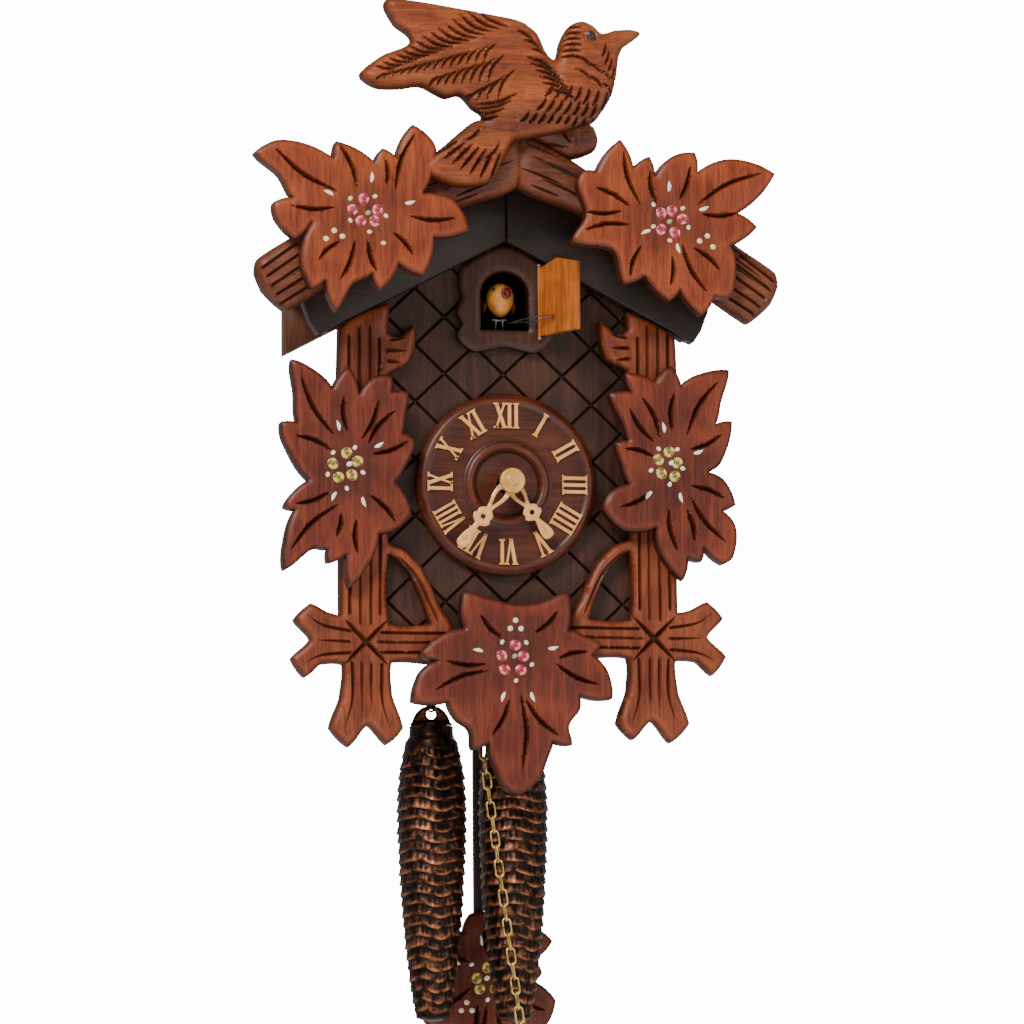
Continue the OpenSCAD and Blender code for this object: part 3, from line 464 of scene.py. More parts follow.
class Relief:
    """A carved board: an outline with holes, thickness, rounded edges, cuts and extra shaping."""

    def __init__(self, loops, back, thick, cuts=(), grid=1.1, edge=(3.0, 1.8), swell=(9.0, 0.8),
                 wave=(13, 0.22), soft=0.75, shape=None, seed=1, step=0.9, extra_shade=None):
        softness = soft if isinstance(soft, (list, tuple)) else [soft] * len(loops)
        self.loops = [petal_line(loop, step) if s == "petal" else curve_through(loop, step, soft=s)
                      for loop, s in zip(loops, softness)]
        self.back, self.thick, self.cuts, self.grid = back, thick, list(cuts), grid
        self.edge, self.swell, self.wave, self.seed = edge, swell, wave, seed
        self.shape, self.extra_shade = shape, extra_shade

    def cut_depth(self, points):
        total = np.zeros(len(points))
        for cut in self.cuts:
            total = np.maximum(total, cut.depth_at(points))
        return total

    def height(self, points, reach=None):
        """Thickness of the board at each point."""
        points = np.asarray(points, float).reshape(-1, 2)
        reach = edge_reach(points, self.loops) if reach is None else reach
        wide, drop = self.edge
        top = self.thick - self.swell[1] - drop * (1 - np.clip(reach / wide, 0, 1)) ** 2
        top = top + self.swell[1] * (1 - np.exp(-reach / self.swell[0]))
        top = top + self.wave[1] * ripple(points, self.wave[0], self.seed) * np.clip(reach / 3, 0, 1)
        if self.shape:
            top = top + self.shape(points, reach)
        return np.clip(top - self.cut_depth(points), 0.4, None)

    def surface(self, x, z):
        return self.back - float(self.height([[x, z]])[0])

    def build(self, name, material, body, nodes=(), edge_shade=0.45, wear=0.5):
        outer = self.loops[0]
        low, high = outer.min(0), outer.max(0)
        g = self.grid
        rows = []
        for k, z in enumerate(np.arange(low[1], high[1], g * 0.87)):
            xs = np.arange(low[0] + (k % 2) * g / 2, high[0], g)
            rows.append(np.stack([xs, np.full(len(xs), z)], 1))
        fill = np.concatenate(rows)
        guides = [c.guide() for c in self.cuts]
        if guides:
            guide = np.concatenate(guides)
            keep = np.ones(len(fill), bool)
            cell = {}
            for p in guide:
                cell.setdefault((int(p[0] // g), int(p[1] // g)), []).append(p)
            for i, p in enumerate(fill):
                a, b = int(p[0] // g), int(p[1] // g)
                around = [(a + da, b + db) for da in (-1, 0, 1) for db in (-1, 0, 1)]
                for q in (q for key in around for q in cell.get(key, ())):
                    if (p[0] - q[0]) ** 2 + (p[1] - q[1]) ** 2 < (0.42 * g) ** 2:
                        keep[i] = False
                        break
            kept, used = [], {}
            for p in guide:
                key = (int(p[0] // 0.3), int(p[1] // 0.3))
                if key not in used:
                    used[key] = True
                    kept.append(p)
            fill = np.concatenate([fill[keep], np.array(kept)])
        fill = fill[inside(fill, self.loops)]
        reach = edge_reach(fill, self.loops)
        fill, reach = fill[reach > 0.4], reach[reach > 0.4]
        rim = np.concatenate(self.loops)
        flat = np.concatenate([rim, fill])
        bounds = []
        first = 0
        for loop in self.loops:
            n = len(loop)
            bounds += [(first + i, first + (i + 1) % n) for i in range(n)]
            first += n
        coords, _, faces, source, _, _ = delaunay_2d_cdt([Vector(p) for p in flat], bounds, [], 0, 1e-5)
        coords = np.array([tuple(c) for c in coords])
        faces = np.array(faces)
        middle = coords[faces].mean(1)
        faces = faces[inside(middle, self.loops)]
        on_rim = np.array([any(i < len(rim) for i in s) for s in source])
        reach_all = edge_reach(coords, self.loops)
        reach_all[on_rim] = 0
        front = self.back - self.height(coords, reach_all)
        cut = self.cut_depth(coords)
        deepest = max([c.depth for c in self.cuts], default=1)
        # Painted shade: darker in the cuts and along the outline, plus any extra painted shade given for
        # hollows.
        shade_and_stain = np.clip(cut / deepest * 1.6, 0, 1) + edge_shade * np.clip(1 - reach_all / 1.3, 0, 1)
        if self.extra_shade:
            shade_and_stain = shade_and_stain + self.extra_shade(coords)
        worn = wear * np.clip(1 - abs(reach_all - 1.6) / 1.4, 0, 1) * (cut < 0.05)
        n = len(coords)
        verts = np.concatenate([
            np.stack([coords[:, 0], front, coords[:, 1]], 1),
            np.stack([coords[:, 0], np.full(n, self.back), coords[:, 1]], 1)])
        ab, ac = coords[faces[:, 1]] - coords[faces[:, 0]], coords[faces[:, 2]] - coords[faces[:, 0]]
        turned = ab[:, 0] * ac[:, 1] - ab[:, 1] * ac[:, 0] < 0
        faces[turned] = faces[turned][:, ::-1]
        all_faces = [tuple(f) for f in faces] + [tuple(f[::-1] + n) for f in faces]
        count = {}
        for f in faces:
            for i in range(3):
                count[(f[i], f[(i + 1) % 3])] = True
        for p, q in count:
            if (q, p) not in count:
                all_faces.append((q, p, p + n, q + n))
        # Painted shade on the side walls and the back face, darkest along the rim.
        wall_shade = np.where(on_rim, 0.75, 0.3)
        values = {"shade_and_stain": np.concatenate([np.clip(shade_and_stain, 0, 1), wall_shade]),
                  "wear": np.concatenate([worn, np.zeros(n)])}
        return piece(name, verts, all_faces, material, body, nodes, values)


def strips(rows, spokes, first=0, flip=False):
    """Four-sided faces between neighbouring rings of spokes points, numbered from first."""
    faces = []
    for r in range(rows - 1):
        for k in range(spokes):
            a, b = first + r * spokes + k, first + r * spokes + (k + 1) % spokes
            faces.append((a, a + spokes, b + spokes, b) if flip else (a, b, b + spokes, a + spokes))
    return faces


def lids(rows, spokes):
    """Faces that close both ends of a stack of rings of spokes points."""
    return [tuple(range(spokes))[::-1], tuple((rows - 1) * spokes + k for k in range(spokes))]


def cap(spokes):
    """Triangles from point 0 to the first ring."""
    return [(0, 1 + k, 1 + (k + 1) % spokes) for k in range(spokes)]


def turned(profile, segments=96):
    """A lathe shape about the origin's Z axis from [radius, height] points, closed at both ends."""
    turns = [TAU * k / segments for k in range(segments)]
    verts = [(r * math.cos(a), r * math.sin(a), height) for r, height in profile for a in turns]
    return np.array(verts), strips(len(profile), segments) + lids(len(profile), segments)


def faced(verts, place):
    """Turns a lathe shape's axis towards the viewer (-Y) and moves it to place."""
    v = np.asarray(verts, float)
    return np.stack([v[:, 0], -v[:, 2], v[:, 1]], 1) + np.asarray(place, float)


def tube(path, radius, around=10, closed=False):
    """A round bar along a path of points."""
    pts = np.asarray(path, float)
    n = len(pts)
    way = np.roll(pts, -1, 0) - np.roll(pts, 1, 0) if closed else np.gradient(pts, axis=0)
    way /= np.maximum(np.linalg.norm(way, axis=1, keepdims=True), 1e-9)
    side = np.cross(way[0], (0.3, 0.2, 0.93))
    verts = []
    radii = np.broadcast_to(radius, (n,))
    for i in range(n):
        side = side - way[i] * side.dot(way[i])
        side /= np.linalg.norm(side)
        up = np.cross(way[i], side)
        for k in range(around):
            a = TAU * k / around
            verts.append(pts[i] + radii[i] * (math.cos(a) * side + math.sin(a) * up))
    faces = []
    for i in range(n if closed else n - 1):
        for k in range(around):
            a, b = i * around + k, i * around + (k + 1) % around
            c, d = ((i + 1) % n) * around + (k + 1) % around, ((i + 1) % n) * around + k
            faces.append((a, b, c, d))
    return np.array(verts), faces if closed else faces + lids(n, around)


class Heap:
    """Collects shapes into one mesh."""

    def __init__(self):
        self.verts, self.faces, self.tints, self.count = [], [], [], 0

    def put(self, verts, faces, tint=None):
        self.verts.append(np.asarray(verts, float))
        self.faces += [tuple(i + self.count for i in f) for f in faces]
        self.count += len(verts)
        if tint is not None:
            self.tints.append(np.tile(tint, (len(verts), 1)))

    def make(self, name, material, body, nodes=(), values=None, sharp=38):
        tint = np.concatenate(self.tints) if self.tints else None
        return piece(name, np.concatenate(self.verts), self.faces, material, body, nodes, values, tint, sharp)


def soften(node, material, body, width=0.5):
    """The CAD node's own shape with its sharp edges rounded off, as a piece that stands for it."""
    made = bpy.data.objects.new(node + "_board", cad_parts[node].data.copy())
    bpy.context.collection.objects.link(made)
    made.data.materials.clear()
    made.data.materials.append(material)
    bpy.ops.object.select_all(action="DESELECT")
    made.select_set(True)
    bpy.context.view_layer.objects.active = made
    bpy.ops.object.mode_set(mode="EDIT")
    bpy.ops.mesh.select_all(action="SELECT")
    bpy.ops.mesh.remove_doubles(threshold=1e-6)
    bpy.ops.mesh.dissolve_limited(angle_limit=math.radians(1))
    bpy.ops.object.mode_set(mode="OBJECT")
    edges = made.modifiers.new("edges", "BEVEL")
    edges.width, edges.segments = width * MM, 2
    edges.limit_method, edges.angle_limit = "ANGLE", math.radians(35)
    edges.use_clamp_overlap = True
    bpy.ops.object.modifier_apply(modifier="edges")
    made.data.shade_smooth()
    made.data.set_sharp_from_angle(angle=math.radians(40))
    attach(made, body)
    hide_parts(node)
    return made


# ---- Sizes that the frame uses ----
PANEL_FACE, TRIM_FACE, BRANCH_BACK, BRANCH_FACE = -77.0, -84.0, -100.0, -109.0
RIDGE, SLOPE = 29.0, math.tan(math.radians(28))
HANDS_AT = (0.0, -86.0)


def roof_z(x):
    return RIDGE - abs(x) * SLOPE


# ---- Carved leaves with painted flowers ----
WHITE, CREAM_DAB, SAGE = rgb(244, 238, 222), rgb(236, 222, 178), rgb(150, 156, 122)
PINK, ROSE, DEEP = rgb(226, 140, 140), rgb(196, 62, 78), rgb(138, 24, 44)
YELLOW, GOLD, OLIVE = rgb(226, 210, 106), rgb(176, 150, 52), rgb(104, 92, 30)


def dab(heap, board, x, z, long, wide, angle, tint, rise=0.4, tail=0.0):
    """A domed brush dab lying on the carved surface; tail draws one end out to a point."""
    rings, spokes = 5, 16
    ca, sa = math.cos(math.radians(angle)), math.sin(math.radians(angle))
    flat, lift = [(x, z)], [rise]
    for r in range(1, rings + 1):
        share = r / rings
        for k in range(spokes):
            a = TAU * k / spokes
            u, v = math.cos(a) * share * long / 2, math.sin(a) * share * wide / 2
            v *= 1 - tail * max(0.0, u / (long / 2)) ** 1.5
            v += tail * 0.25 * (u / long * 2) ** 2 * wide
            flat.append((x + u * ca - v * sa, z + u * sa + v * ca))
            lift.append(rise * math.sqrt(max(0.0, 1 - share ** 2)) - 0.06)
    flat = np.array(flat)
    y = board.back - board.height(flat) - np.array(lift)
    verts = np.stack([flat[:, 0], y, flat[:, 1]], 1)
    heap.put(verts, cap(spokes) + strips(rings, spokes, 1, flip=True), tint)


def rose(heap, board, x, z, size, petals, dice):
    """Round bloom: a mid-toned base, five inner petals in pale and deep by turns, and a deep eye."""
    deep, mid, pale = petals
    dab(heap, board, x, z, size, size * 0.92, dice.uniform(0, 180), mid, 0.45)
    turn = dice.uniform(0, 360)
    for k, tint in enumerate((pale, deep, pale, deep, pale)):
        a = math.radians(turn + 72 * k)
        dab(heap, board, x + math.cos(a) * size * 0.3, z + math.sin(a) * size * 0.3, size * 0.52, size * 0.26,
            turn + 72 * k + 90, tint, 0.72)
    dab(heap, board, x, z, size * 0.3, size * 0.26, 0, deep, 0.85)


ROSES = {"pink": (DEEP, ROSE, PINK), "yellow": (OLIVE, GOLD, YELLOW)}


def leaf(name, outline, place, colour, seed, veins, roses, dots, strokes, trio=(),
         back=TRIM_FACE, thick=7, material=RED_WOOD, body="case"):
    """A carved leaf and its painted flower, both drawn round place; colour is that of the roses."""
    x0, z0 = place
    move = np.array(place, float)
    cuts = []
    for i, vein in enumerate(veins):
        tip, root = sorted(np.array(vein, float).reshape(2, 2), key=lambda p: -np.hypot(*p))
        root = root * max(0.62, 1 - 3.5 / np.hypot(*root))
        cuts.append(Cut(np.array([tip, root]) + move, 1.0, 2.1, "both", 0.07 * (1 if i % 2 else -1)))

    def hollow(points, reach):
        away_from_middle = np.hypot(points[:, 0] - x0, points[:, 1] - z0)
        return -0.9 * np.exp(-(away_from_middle / 9) ** 2)

    # Painted shade darkening the hollow at the leaf's middle.
    def extra_shade(points):
        return 0.42 * np.exp(-(np.hypot(points[:, 0] - x0, points[:, 1] - z0) / 15) ** 2)

    board = Relief([np.array(outline, float) + move], back, thick, cuts, edge=(1.5, 1.0), swell=(6, 0.7),
                   wave=(16, 0.3), soft="petal", shape=hollow, seed=seed, step=0.7, extra_shade=extra_shade)
    board.build(name + "_carved", material, body, [name], edge_shade=0.75, wear=0.35)
    heap, dice = Heap(), random.Random(seed)
    for x, z in roses:
        rose(heap, board, x0 + x, z0 + z, 4.6, ROSES[colour], dice)
    centre, speck_and_shade = (SAGE, CREAM_DAB) if colour == "pink" else (WHITE, WHITE)
    dab(heap, board, x0 + dice.uniform(-0.5, 0.5), z0, 2.4, 1.9, 30, centre, 0.8)
    for x, z in dots:
        dab(heap, board, x0 + x, z0 + z, 2.0, 1.6, dice.uniform(0, 180), speck_and_shade, 0.5)
    for x, z in strokes:
        turn = math.degrees(math.atan2(z, x))
        dab(heap, board, x0 + x, z0 + z, 4.2, 1.5, turn, WHITE, 0.5, 0.8)
    for x, z in trio:
        dab(heap, board, x0 + x, z0 + z, 2.2, 2.1, 0, CREAM_DAB, 0.6)
    heap.make(name + "_paint", ENAMEL, body)
    return board


TOP_LEFT = [[-42, 21], [-31, 26], [-13, 20], [-12, 26], [2, 19], [5, 24], [10, 21], [16, 33], [23, 28],
            [25, 23], [20, 8], [31, 6], [37, -5], [24, -8], [20, -22], [11, -18], [4, -28], [1, -22],
            [-6, -26], [-12, -36], [-16, -25], [-21, -28], [-25, -17], [-21, -4], [-27, -10], [-34, -3],
            [-35, 3], [-28, 5], [-33, 13]]
TOP_RIGHT = [[-18, 30], [-13, 20], [-7, 24], [-5, 17], [1, 24], [10, 26], [11, 19], [24, 24], [40, 19],
             [26, 4], [33, -1], [23, -8], [25, -16], [23, -27], [17, -27], [12, -34], [4, -25], [0, -29],
             [-9, -20], [-17, -23], [-20, -12], [-23, -10], [-36, -8], [-31, 2], [-34, 13], [-32, 18],
             [-27, 18]]
LEFT = [[-21, 38], [-12, 34], [-6, 28], [0, 36], [4, 26], [9, 32], [16, 33], [16, 27], [22, 27], [21, 18],
        [20, 12], [24, 10], [24, 6], [17, -6], [23, -17], [18, -23], [11, -25], [8, -35], [0, -45], [-1, -33],
        [-8, -36], [-8, -31], [-13, -31], [-24, -39], [-24, -29], [-20, -17], [-24, -16], [-21, -11],
        [-15, -6], [-24, 8], [-25, 15], [-19, 15], [-20, 26]]
RIGHT = [[22, 35], [10, 33], [4, 29], [0, 36], [-6, 30], [-17, 33], [-15, 26], [-23, 25], [-18, 14], [-16, 8],
         [-21, 7], [-19, 0], [-16, -8], [-23, -11], [-26, -17], [-18, -25], [-6, -24], [-5, -32], [4, -43],
         [6, -35], [11, -36], [12, -31], [19, -37], [23, -34], [24, -23], [19, -17], [24, -15], [20, -6],
         [14, -3], [19, 1], [23, 16], [17, 15], [19, 23]]
BOTTOM = [[1, 19], [10, 20], [20, 24], [21, 18], [20, 10], [26, 8], [32, 5], [29, 1], [34, -4], [36, -10],
          [36, -15], [24, -14], [24, -19], [20, -25], [21, -32], [14, -31], [12, -37], [9, -44], [2, -50],
          [-4, -48], [-7, -42], [-10, -32], [-16, -34], [-17, -27], [-22, -23], [-25, -17], [-38, -17],
          [-36, -8], [-33, -4], [-29, -2], [-35, 0], [-28, 7], [-19, 10], [-19, 23], [-9, 21]]
BOB = [[-6, 24], [6, 24], [9, 17], [18, 19], [25, 14], [18, 7], [21, 2], [18, -1], [26, -8], [22, -18],
       [14, -19], [10, -30], [0, -40], [-10, -30], [-14, -19], [-22, -18], [-26, -8], [-18, -1], [-21, 2],
       [-18, 7], [-25, 14], [-18, 19], [-9, 17]]

leaf("top_left_leaf", TOP_LEFT, (-57, 7), "pink", 11,
     back=BRANCH_FACE, material=LEAF_WOOD,
     veins=[[-35, 23, -14, 9], [-11, 25, -6, 12], [17, 30, 12, 10], [18, -1, 32, -1], [11, -9, 16, -15],
            [-1, -13, 3, -22], [-7, -13, -11, -25], [-13, -13, -19, -18], [-29, 2, -16, 2], [6, 20, 8, 13]],
     roses=[[-2, 5], [-6, 1], [3, 1], [-3, -3], [2, -3]],
     dots=[[-7, 5], [2, 6], [6, -1], [-7, -3], [0, -7], [5, -11]],
     strokes=[[1, 13], [-15, 7], [15, 4]],
     trio=[[-16, -10], [-10, -9], [-13, -7]])
leaf("top_right_leaf", TOP_RIGHT, (54, 7), "pink", 12,
     back=BRANCH_FACE, material=LEAF_WOOD,
     veins=[[-17, 26, -14, 7], [-28, 12, -18, 6], [-32, 3, -21, 4], [-32, -4, -18, -2], [-7, 19, -7, 9],
            [8, 21, 5, 11], [35, 19, 13, 8], [15, 4, 26, 4], [11, -12, 19, -18], [6, -11, 14, -26],
            [1, -16, 0, -24], [-13, -11, -15, -21]],
     roses=[[1, 4], [-3, 3], [5, 1], [-3, -3], [2, -4]],
     dots=[[-6, 6], [5, 5], [7, -2], [-6, -2], [0, -7]],
     strokes=[[0, 13], [13, 5], [-9, -4], [3, -10]],
     trio=[[11, -7], [16, -9], [14, -5]])
leaf("left_leaf", LEFT, (-60, -81), "yellow", 13,
     veins=[[-18, 32, -7, 13], [-20, 10, -9, 7], [-2, 25, -1, 15], [11, 24, 6, 12], [17, 20, 9, 10],
            [22, 9, 11, 5], [9, -14, 17, -21], [3, -23, 3, -33], [-4, -21, -5, -27], [-5, -18, -22, -32],
            [-9, -13, -20, -15]],
     roses=[[-1, 4], [-6, 0], [3, 1], [-4, -5], [1, -4]],
     dots=[[-6, 4], [2, 6], [-8, -4], [5, -3], [-1, -9]],
     strokes=[[-4, 14], [11, 7], [-6, -12], [5, -14]])
leaf("right_leaf", RIGHT, (60, -78), "yellow", 14,
     veins=[[18, 31, 7, 13], [19, 11, 9, 7], [1, 26, 0, 15], [-11, 24, -6, 12], [-16, 20, -9, 10],
            [-18, 5, -10, 3], [-9, -13, -20, -17], [-2, -20, 2, -33], [6, -20, 8, -29], [8, -15, 20, -29],
            [9, -11, 20, -13]],
     roses=[[-1, 4], [-5, 1], [2, 0], [-4, -4], [1, -5]],
     dots=[[-5, 5], [2, 5], [-8, -3], [4, -2], [-1, -8]],
     strokes=[[-3, 13], [10, 4], [-9, -12], [3, -13]])
leaf("bottom_leaf", BOTTOM, (1, -150), "pink", 15,
     veins=[[-13, 15, -7, 9], [16, 17, 9, 11], [-26, -2, -14, -4], [-30, -13, -13, -7], [27, 2, 19, -1],
            [18, -3, 31, -10], [-3, -19, -9, -29], [4, -19, 16, -29], [2, -17, 2, -42]],
     roses=[[0, 4], [-5, 0], [3, 0], [-4, -5], [2, -5]],
     dots=[[-5, 5], [4, 5], [6, -3], [0, -9]],
     strokes=[[-14, 2], [14, 3], [-5, -15], [6, -15]],
     trio=[[0, 13], [-2, 10], [2, 10]])
leaf("pendulum_bob", BOB, (4, -262.5), "yellow", 16,
     back=-17.8, thick=5, body="pendulum",
     veins=[[-20, 14, -9, 8], [20, 14, 9, 8], [-22, -12, -9, -5], [22, -12, 9, -5], [0, 22, 0, 12],
            [0, -12, 0, -34], [-5, -12, -8, -26], [5, -12, 8, -26]],
     roses=[[0, 4], [-4, 0], [4, 0], [-3, -4], [3, -4]],
     dots=[[-6, 5], [6, 5], [0, -8]],
     strokes=[[-2, 14], [-12, 6], [10, 6]],
     trio=[[-10, -12], [-6, -12], [-8, -9]])

# ---- Roof logs ----
BRANCH = [[0, 20], [0, 39], [19, 31], [30, 24.5], [60, 15], [84, -1], [96, -9], [97, -14], [94, -21],
          [86, -28], [82, -26], [73, -20], [50, -4], [21, 12]]


def along_branch(share, start=0.0, end=1.0):
    """A line that runs down the branch, share of its width below its upper edge."""
    upper = np.array([[0, 39], [19, 31], [30, 24.5], [60, 15], [84, -1], [96, -10]], float)
    lower = np.array([[0, 20], [21, 12], [32, 6], [50, -4], [73, -20], [86, -28]], float)
    line = curve_through(upper * (1 - share) + lower * share, 2.0, closed=False, soft=1.0)
    first, last = int(start * (len(line) - 1)), int(end * (len(line) - 1))
    return line[first:last + 1]


def log_round(points, reach):
    return 3.4 * (np.sqrt(np.clip(1 - (1 - np.clip(reach / 9, 0, 1)) ** 2, 0, 1)) - 1)


dice = random.Random(5)
for side, node in ((-1, "left_branch"), (1, "right_branch")):
    cuts = []
    for k in range(15):
        first = dice.uniform(0.0, 0.75)
        share = dice.uniform(0.08, 0.92)
        last = min(1.0, first + dice.uniform(0.12, 0.3))
        cuts.append(Cut(along_branch(share, first, last) * [side, 1], 0.6, 0.8))
    for share in (0.15, 0.32, 0.5, 0.68, 0.85):
        cuts.append(Cut(along_branch(share, 0.86, 1.0) * [side, 1], 0.7, 1.1, "all"))
    board = Relief([np.array(BRANCH, float) * [side, 1]], BRANCH_BACK, 9, cuts, edge=(2.0, 0.6),
                   swell=(9, 0.3), wave=(17, 0.5), shape=log_round, soft=0.5, seed=20 + side)
    board.build(node + "_carved", LOG_WOOD, "case", [node], edge_shade=0.3, wear=0.3)
PERCH = [[-18.9, 31.1], [0, 39.1], [19, 31.1], [28.5, 34], [30, 38], [28.5, 43], [24, 45], [6, 44.5],
         [-6, 42.5], [-16, 37.5]]


def stump(points, reach):
    """The log ends at its right in a sawn face with a raised rim of bark."""
    end = np.hypot((points[:, 0] - 24.5) / 4.2, (points[:, 1] - 38.5) / 5.2)
    rim = 0.6 * np.exp(-((end - 1.15) / 0.2) ** 2)
    return log_round(points, reach) - 0.9 * np.exp(-(end * 1.1) ** 4) + rim


perch_cuts = [Cut([[-12, 38], [2, 42.5]], 0.6, 0.8), Cut([[2, 40.5], [14, 39]], 0.6, 0.9),
              Cut([[8, 36.5], [19, 34.5]], 0.6, 0.8), Cut([[14, 43], [19, 36]], 0.7, 1.1)]
perch = Relief([PERCH], BRANCH_BACK, 9, perch_cuts,
               edge=(2, 0.6), shape=stump, soft=0.6)
perch.build("perch_log_carved", LOG_WOOD, "case", ["perch_log"], edge_shade=0.6)

# ---- Bird on the roof ----
BIRD = [[-50, 86], [-50.5, 83], [-47, 77], [-41, 71], [-52, 65], [-59.5, 59], [-59, 56.5], [-53.5, 53.5],
        [-45, 53.5], [-37.5, 54.5], [-28.5, 50.5], [-23, 51.5], [-18.5, 47], [-14.7, 44], [-19, 41.5],
        [-30, 32], [-36.5, 26.5], [-38, 24.5], [-31, 20], [-25, 18.5], [-19.5, 18.3], [-12, 20], [-9, 24.5],
        [-7.5, 27.5], [-3.5, 35], [1.5, 36.5], [13.5, 39], [21.5, 41.5], [27, 43.5], [32.8, 52.5],
        [34.8, 59.5], [36, 67.5], [37.6, 71], [41, 73.5], [44, 76.5], [40.8, 77.8], [34.5, 77.3], [29.6, 76],
        [26.3, 78.8], [22.3, 80.2], [17.5, 78.3], [14.3, 72.5], [13.2, 67.5], [11.9, 65.5], [9, 68],
        [5.4, 75.5], [-1, 79.7], [-10.7, 81.5], [-27, 84], [-40, 85.7]]
EYE = (24.6, 74.4)
feathers = []


def barbs(first, last, count, lean, length, half=0.62, depth=1.15, bend=0.1):
    """A row of feather cuts rooted from first to last; lean is their angle, length their reach."""
    for k in range(count):
        t = k / (count - 1)
        at = np.array(first, float) * (1 - t) + np.array(last, float) * t
        angle = math.radians(lean[0] * (1 - t) + lean[1] * t)
        long = length[0] * (1 - t) + length[1] * t
        tip = at + long * np.array([math.cos(angle), math.sin(angle)])
        feathers.append(Cut([at, tip], half, depth, "both", bend))


barbs((-5, 76.5), (-46, 60.5), 15, (148, 178), (16, 9), 0.8, 1.4)
barbs((-10, 70.5), (-49, 58), 14, (236, 205), (9, 7), 0.7, 1.2, -0.12)
barbs((-7, 66.5), (-30, 58), 8, (240, 220), (13, 7), 0.75, 1.3, -0.12)
barbs((-3, 61.5), (-19, 50), 6, (240, 200), (14, 9), 0.75, 1.3, -0.1)
barbs((-2, 52.5), (-9, 44), 4, (196, 186), (17, 9), 0.9, 1.6, 0.08)
barbs((-9, 34), (-16, 39.5), 2, (226, 222), (9, 8), 0.8, 1.4)
barbs((-8.5, 31), (-24, 34.5), 7, (250, 212), (13, 11), 0.9, 1.7, 0.0)
barbs((-3, 75.5), (2.5, 69), 3, (332, 338), (8, 7), 0.8, 1.4)
barbs((0.5, 66), (7.5, 54), 6, (334, 342), (13, 13), 0.85, 1.6, 0.08)
barbs((11, 57), (31, 54.5), 7, (238, 250), (7.5, 7.5), 0.85, 1.5)
barbs((8, 51), (30, 49.5), 8, (234, 248), (6.5, 6.5), 0.85, 1.6)
barbs((2, 46), (26, 44.5), 9, (232, 246), (5.5, 4), 0.85, 1.7)
barbs((17, 66.5), (32, 59.5), 4, (336, 318), (9, 6), 0.75, 1.3, 0.15)
barbs((18, 62), (29, 57), 3, (328, 312), (8, 6), 0.75, 1.3, 0.15)
barbs((14.6, 76.4), (13.4, 66), 6, (8, 2), (7.5, 8.5), 0.75, 1.4, 0.06)
barbs((30.5, 72), (34, 64), 4, (252, 250), (6, 6), 0.7, 1.2)


def bird_form(points, reach):
    """Full body and head, a wing laid over them with its own edge, and a ringed eye."""
    x, z = points.T
    body = 1.7 * np.exp(-(((x - 17) / 14) ** 2 + ((z - 53) / 12) ** 2))
    head = 1.3 * np.exp(-(((x - 22) / 7) ** 2 + ((z - 73) / 7) ** 2))
    spine = z - (76 + (x + 2) * 0.37)
    wing = 0.9 * np.exp(-(spine / 2.4) ** 2) * (x < 2)
    under = -1.3 * np.exp(-((z - 43.5 - 0.12 * x) / 3.0) ** 2) * (x < -2)
    eye = np.hypot(x - EYE[0], z - EYE[1])
    belly = -0.9 * np.exp(-((z - 41 - 0.1 * x) / 4.0) ** 2) * (x > -2)
    socket = -0.9 * np.exp(-((eye - 2.1) / 0.5) ** 2) + 0.3 * np.exp(-(eye / 1.3) ** 2)
    return body + head + wing + under + belly - 1.7 + socket


def bird_extra_shade(points):
    """Painted shade low on the belly and over the wing's roots."""
    x, z = points.T
    belly = 0.5 * np.exp(-((z - 42 - 0.12 * x) / 5) ** 2)
    return belly + 0.3 * np.exp(-(((x + 24) / 14) ** 2 + ((z - 56) / 7) ** 2))


bird_board = Relief([BIRD], BRANCH_FACE, 9.8, feathers, grid=0.85, edge=(2.8, 2.2), swell=(6, 1.2),
                    wave=(9, 0.25), shape=bird_form, soft=0.8, seed=31, extra_shade=bird_extra_shade)
bird_board.build("crown_bird_carved", BIRD_WOOD, "case", ["crown_bird"], edge_shade=0.6, wear=0.3)
heap = Heap()
v, f = turned([(0.1, 0), (1.2, 0), (1.6, 0.3), (1.5, 0.6), (1.0, 0.9), (0.1, 1.0)], 28)
heap.put(faced(v, (EYE[0], bird_board.surface(*EYE) + 0.35, EYE[1])), f)
heap.make("crown_bird_eye", BLACK_PAINT, "case")

# ---- Front panel with its diamond grooves ----
DOOR_W, DOOR_LOW, DOOR_SPRING = 18.0, -29.0, -16.0


def doorway(grow, points=20):
    """Outline of the round-topped doorway."""
    r = DOOR_W / 2 + grow
    arch = [(r * math.cos(math.pi * k / points), DOOR_SPRING + r * math.sin(math.pi * k / points))
            for k in range(points + 1)]
    return arch + [(-r, DOOR_LOW - grow), (r, DOOR_LOW - grow)]


def ring(x, z, r, count=40):
    """Points of a circle."""
    return [(x + r * math.cos(TAU * k / count), z + r * math.sin(TAU * k / count)) for k in range(count)]


CELL_X, CELL_Z, CROSS_Z = 22.0, 21.0, -45.0
lattice = []
for k in range(-9, 10):
    for lean in (-1, 1):
        line = []
        for x in np.arange(-47.5, 47.6, 2.5):
            z = CROSS_Z + k * CELL_Z + lean * x * CELL_Z / CELL_X
            if -140 < z < roof_z(x) - 1:
                line.append((x, z))
        if len(line) > 2:
            cut = Cut(line, 0.65, 1.1, "all")
            lattice.append(cut)
gable = [(-48, -141), (48, -141), (48, roof_z(48)), (0, RIDGE), (-48, roof_z(48))]
panel = Relief([gable, doorway(0.5), ring(*HANDS_AT, 5)], -72, 5, lattice, grid=2.6, edge=(0.5, 0.1),
               swell=(5, 0.0), wave=(30, 0.12), soft=0.0, seed=41)
panel.build("front_panel_carved", DARK_WOOD, "case", ["front_panel"], edge_shade=0.2, wear=0.1)

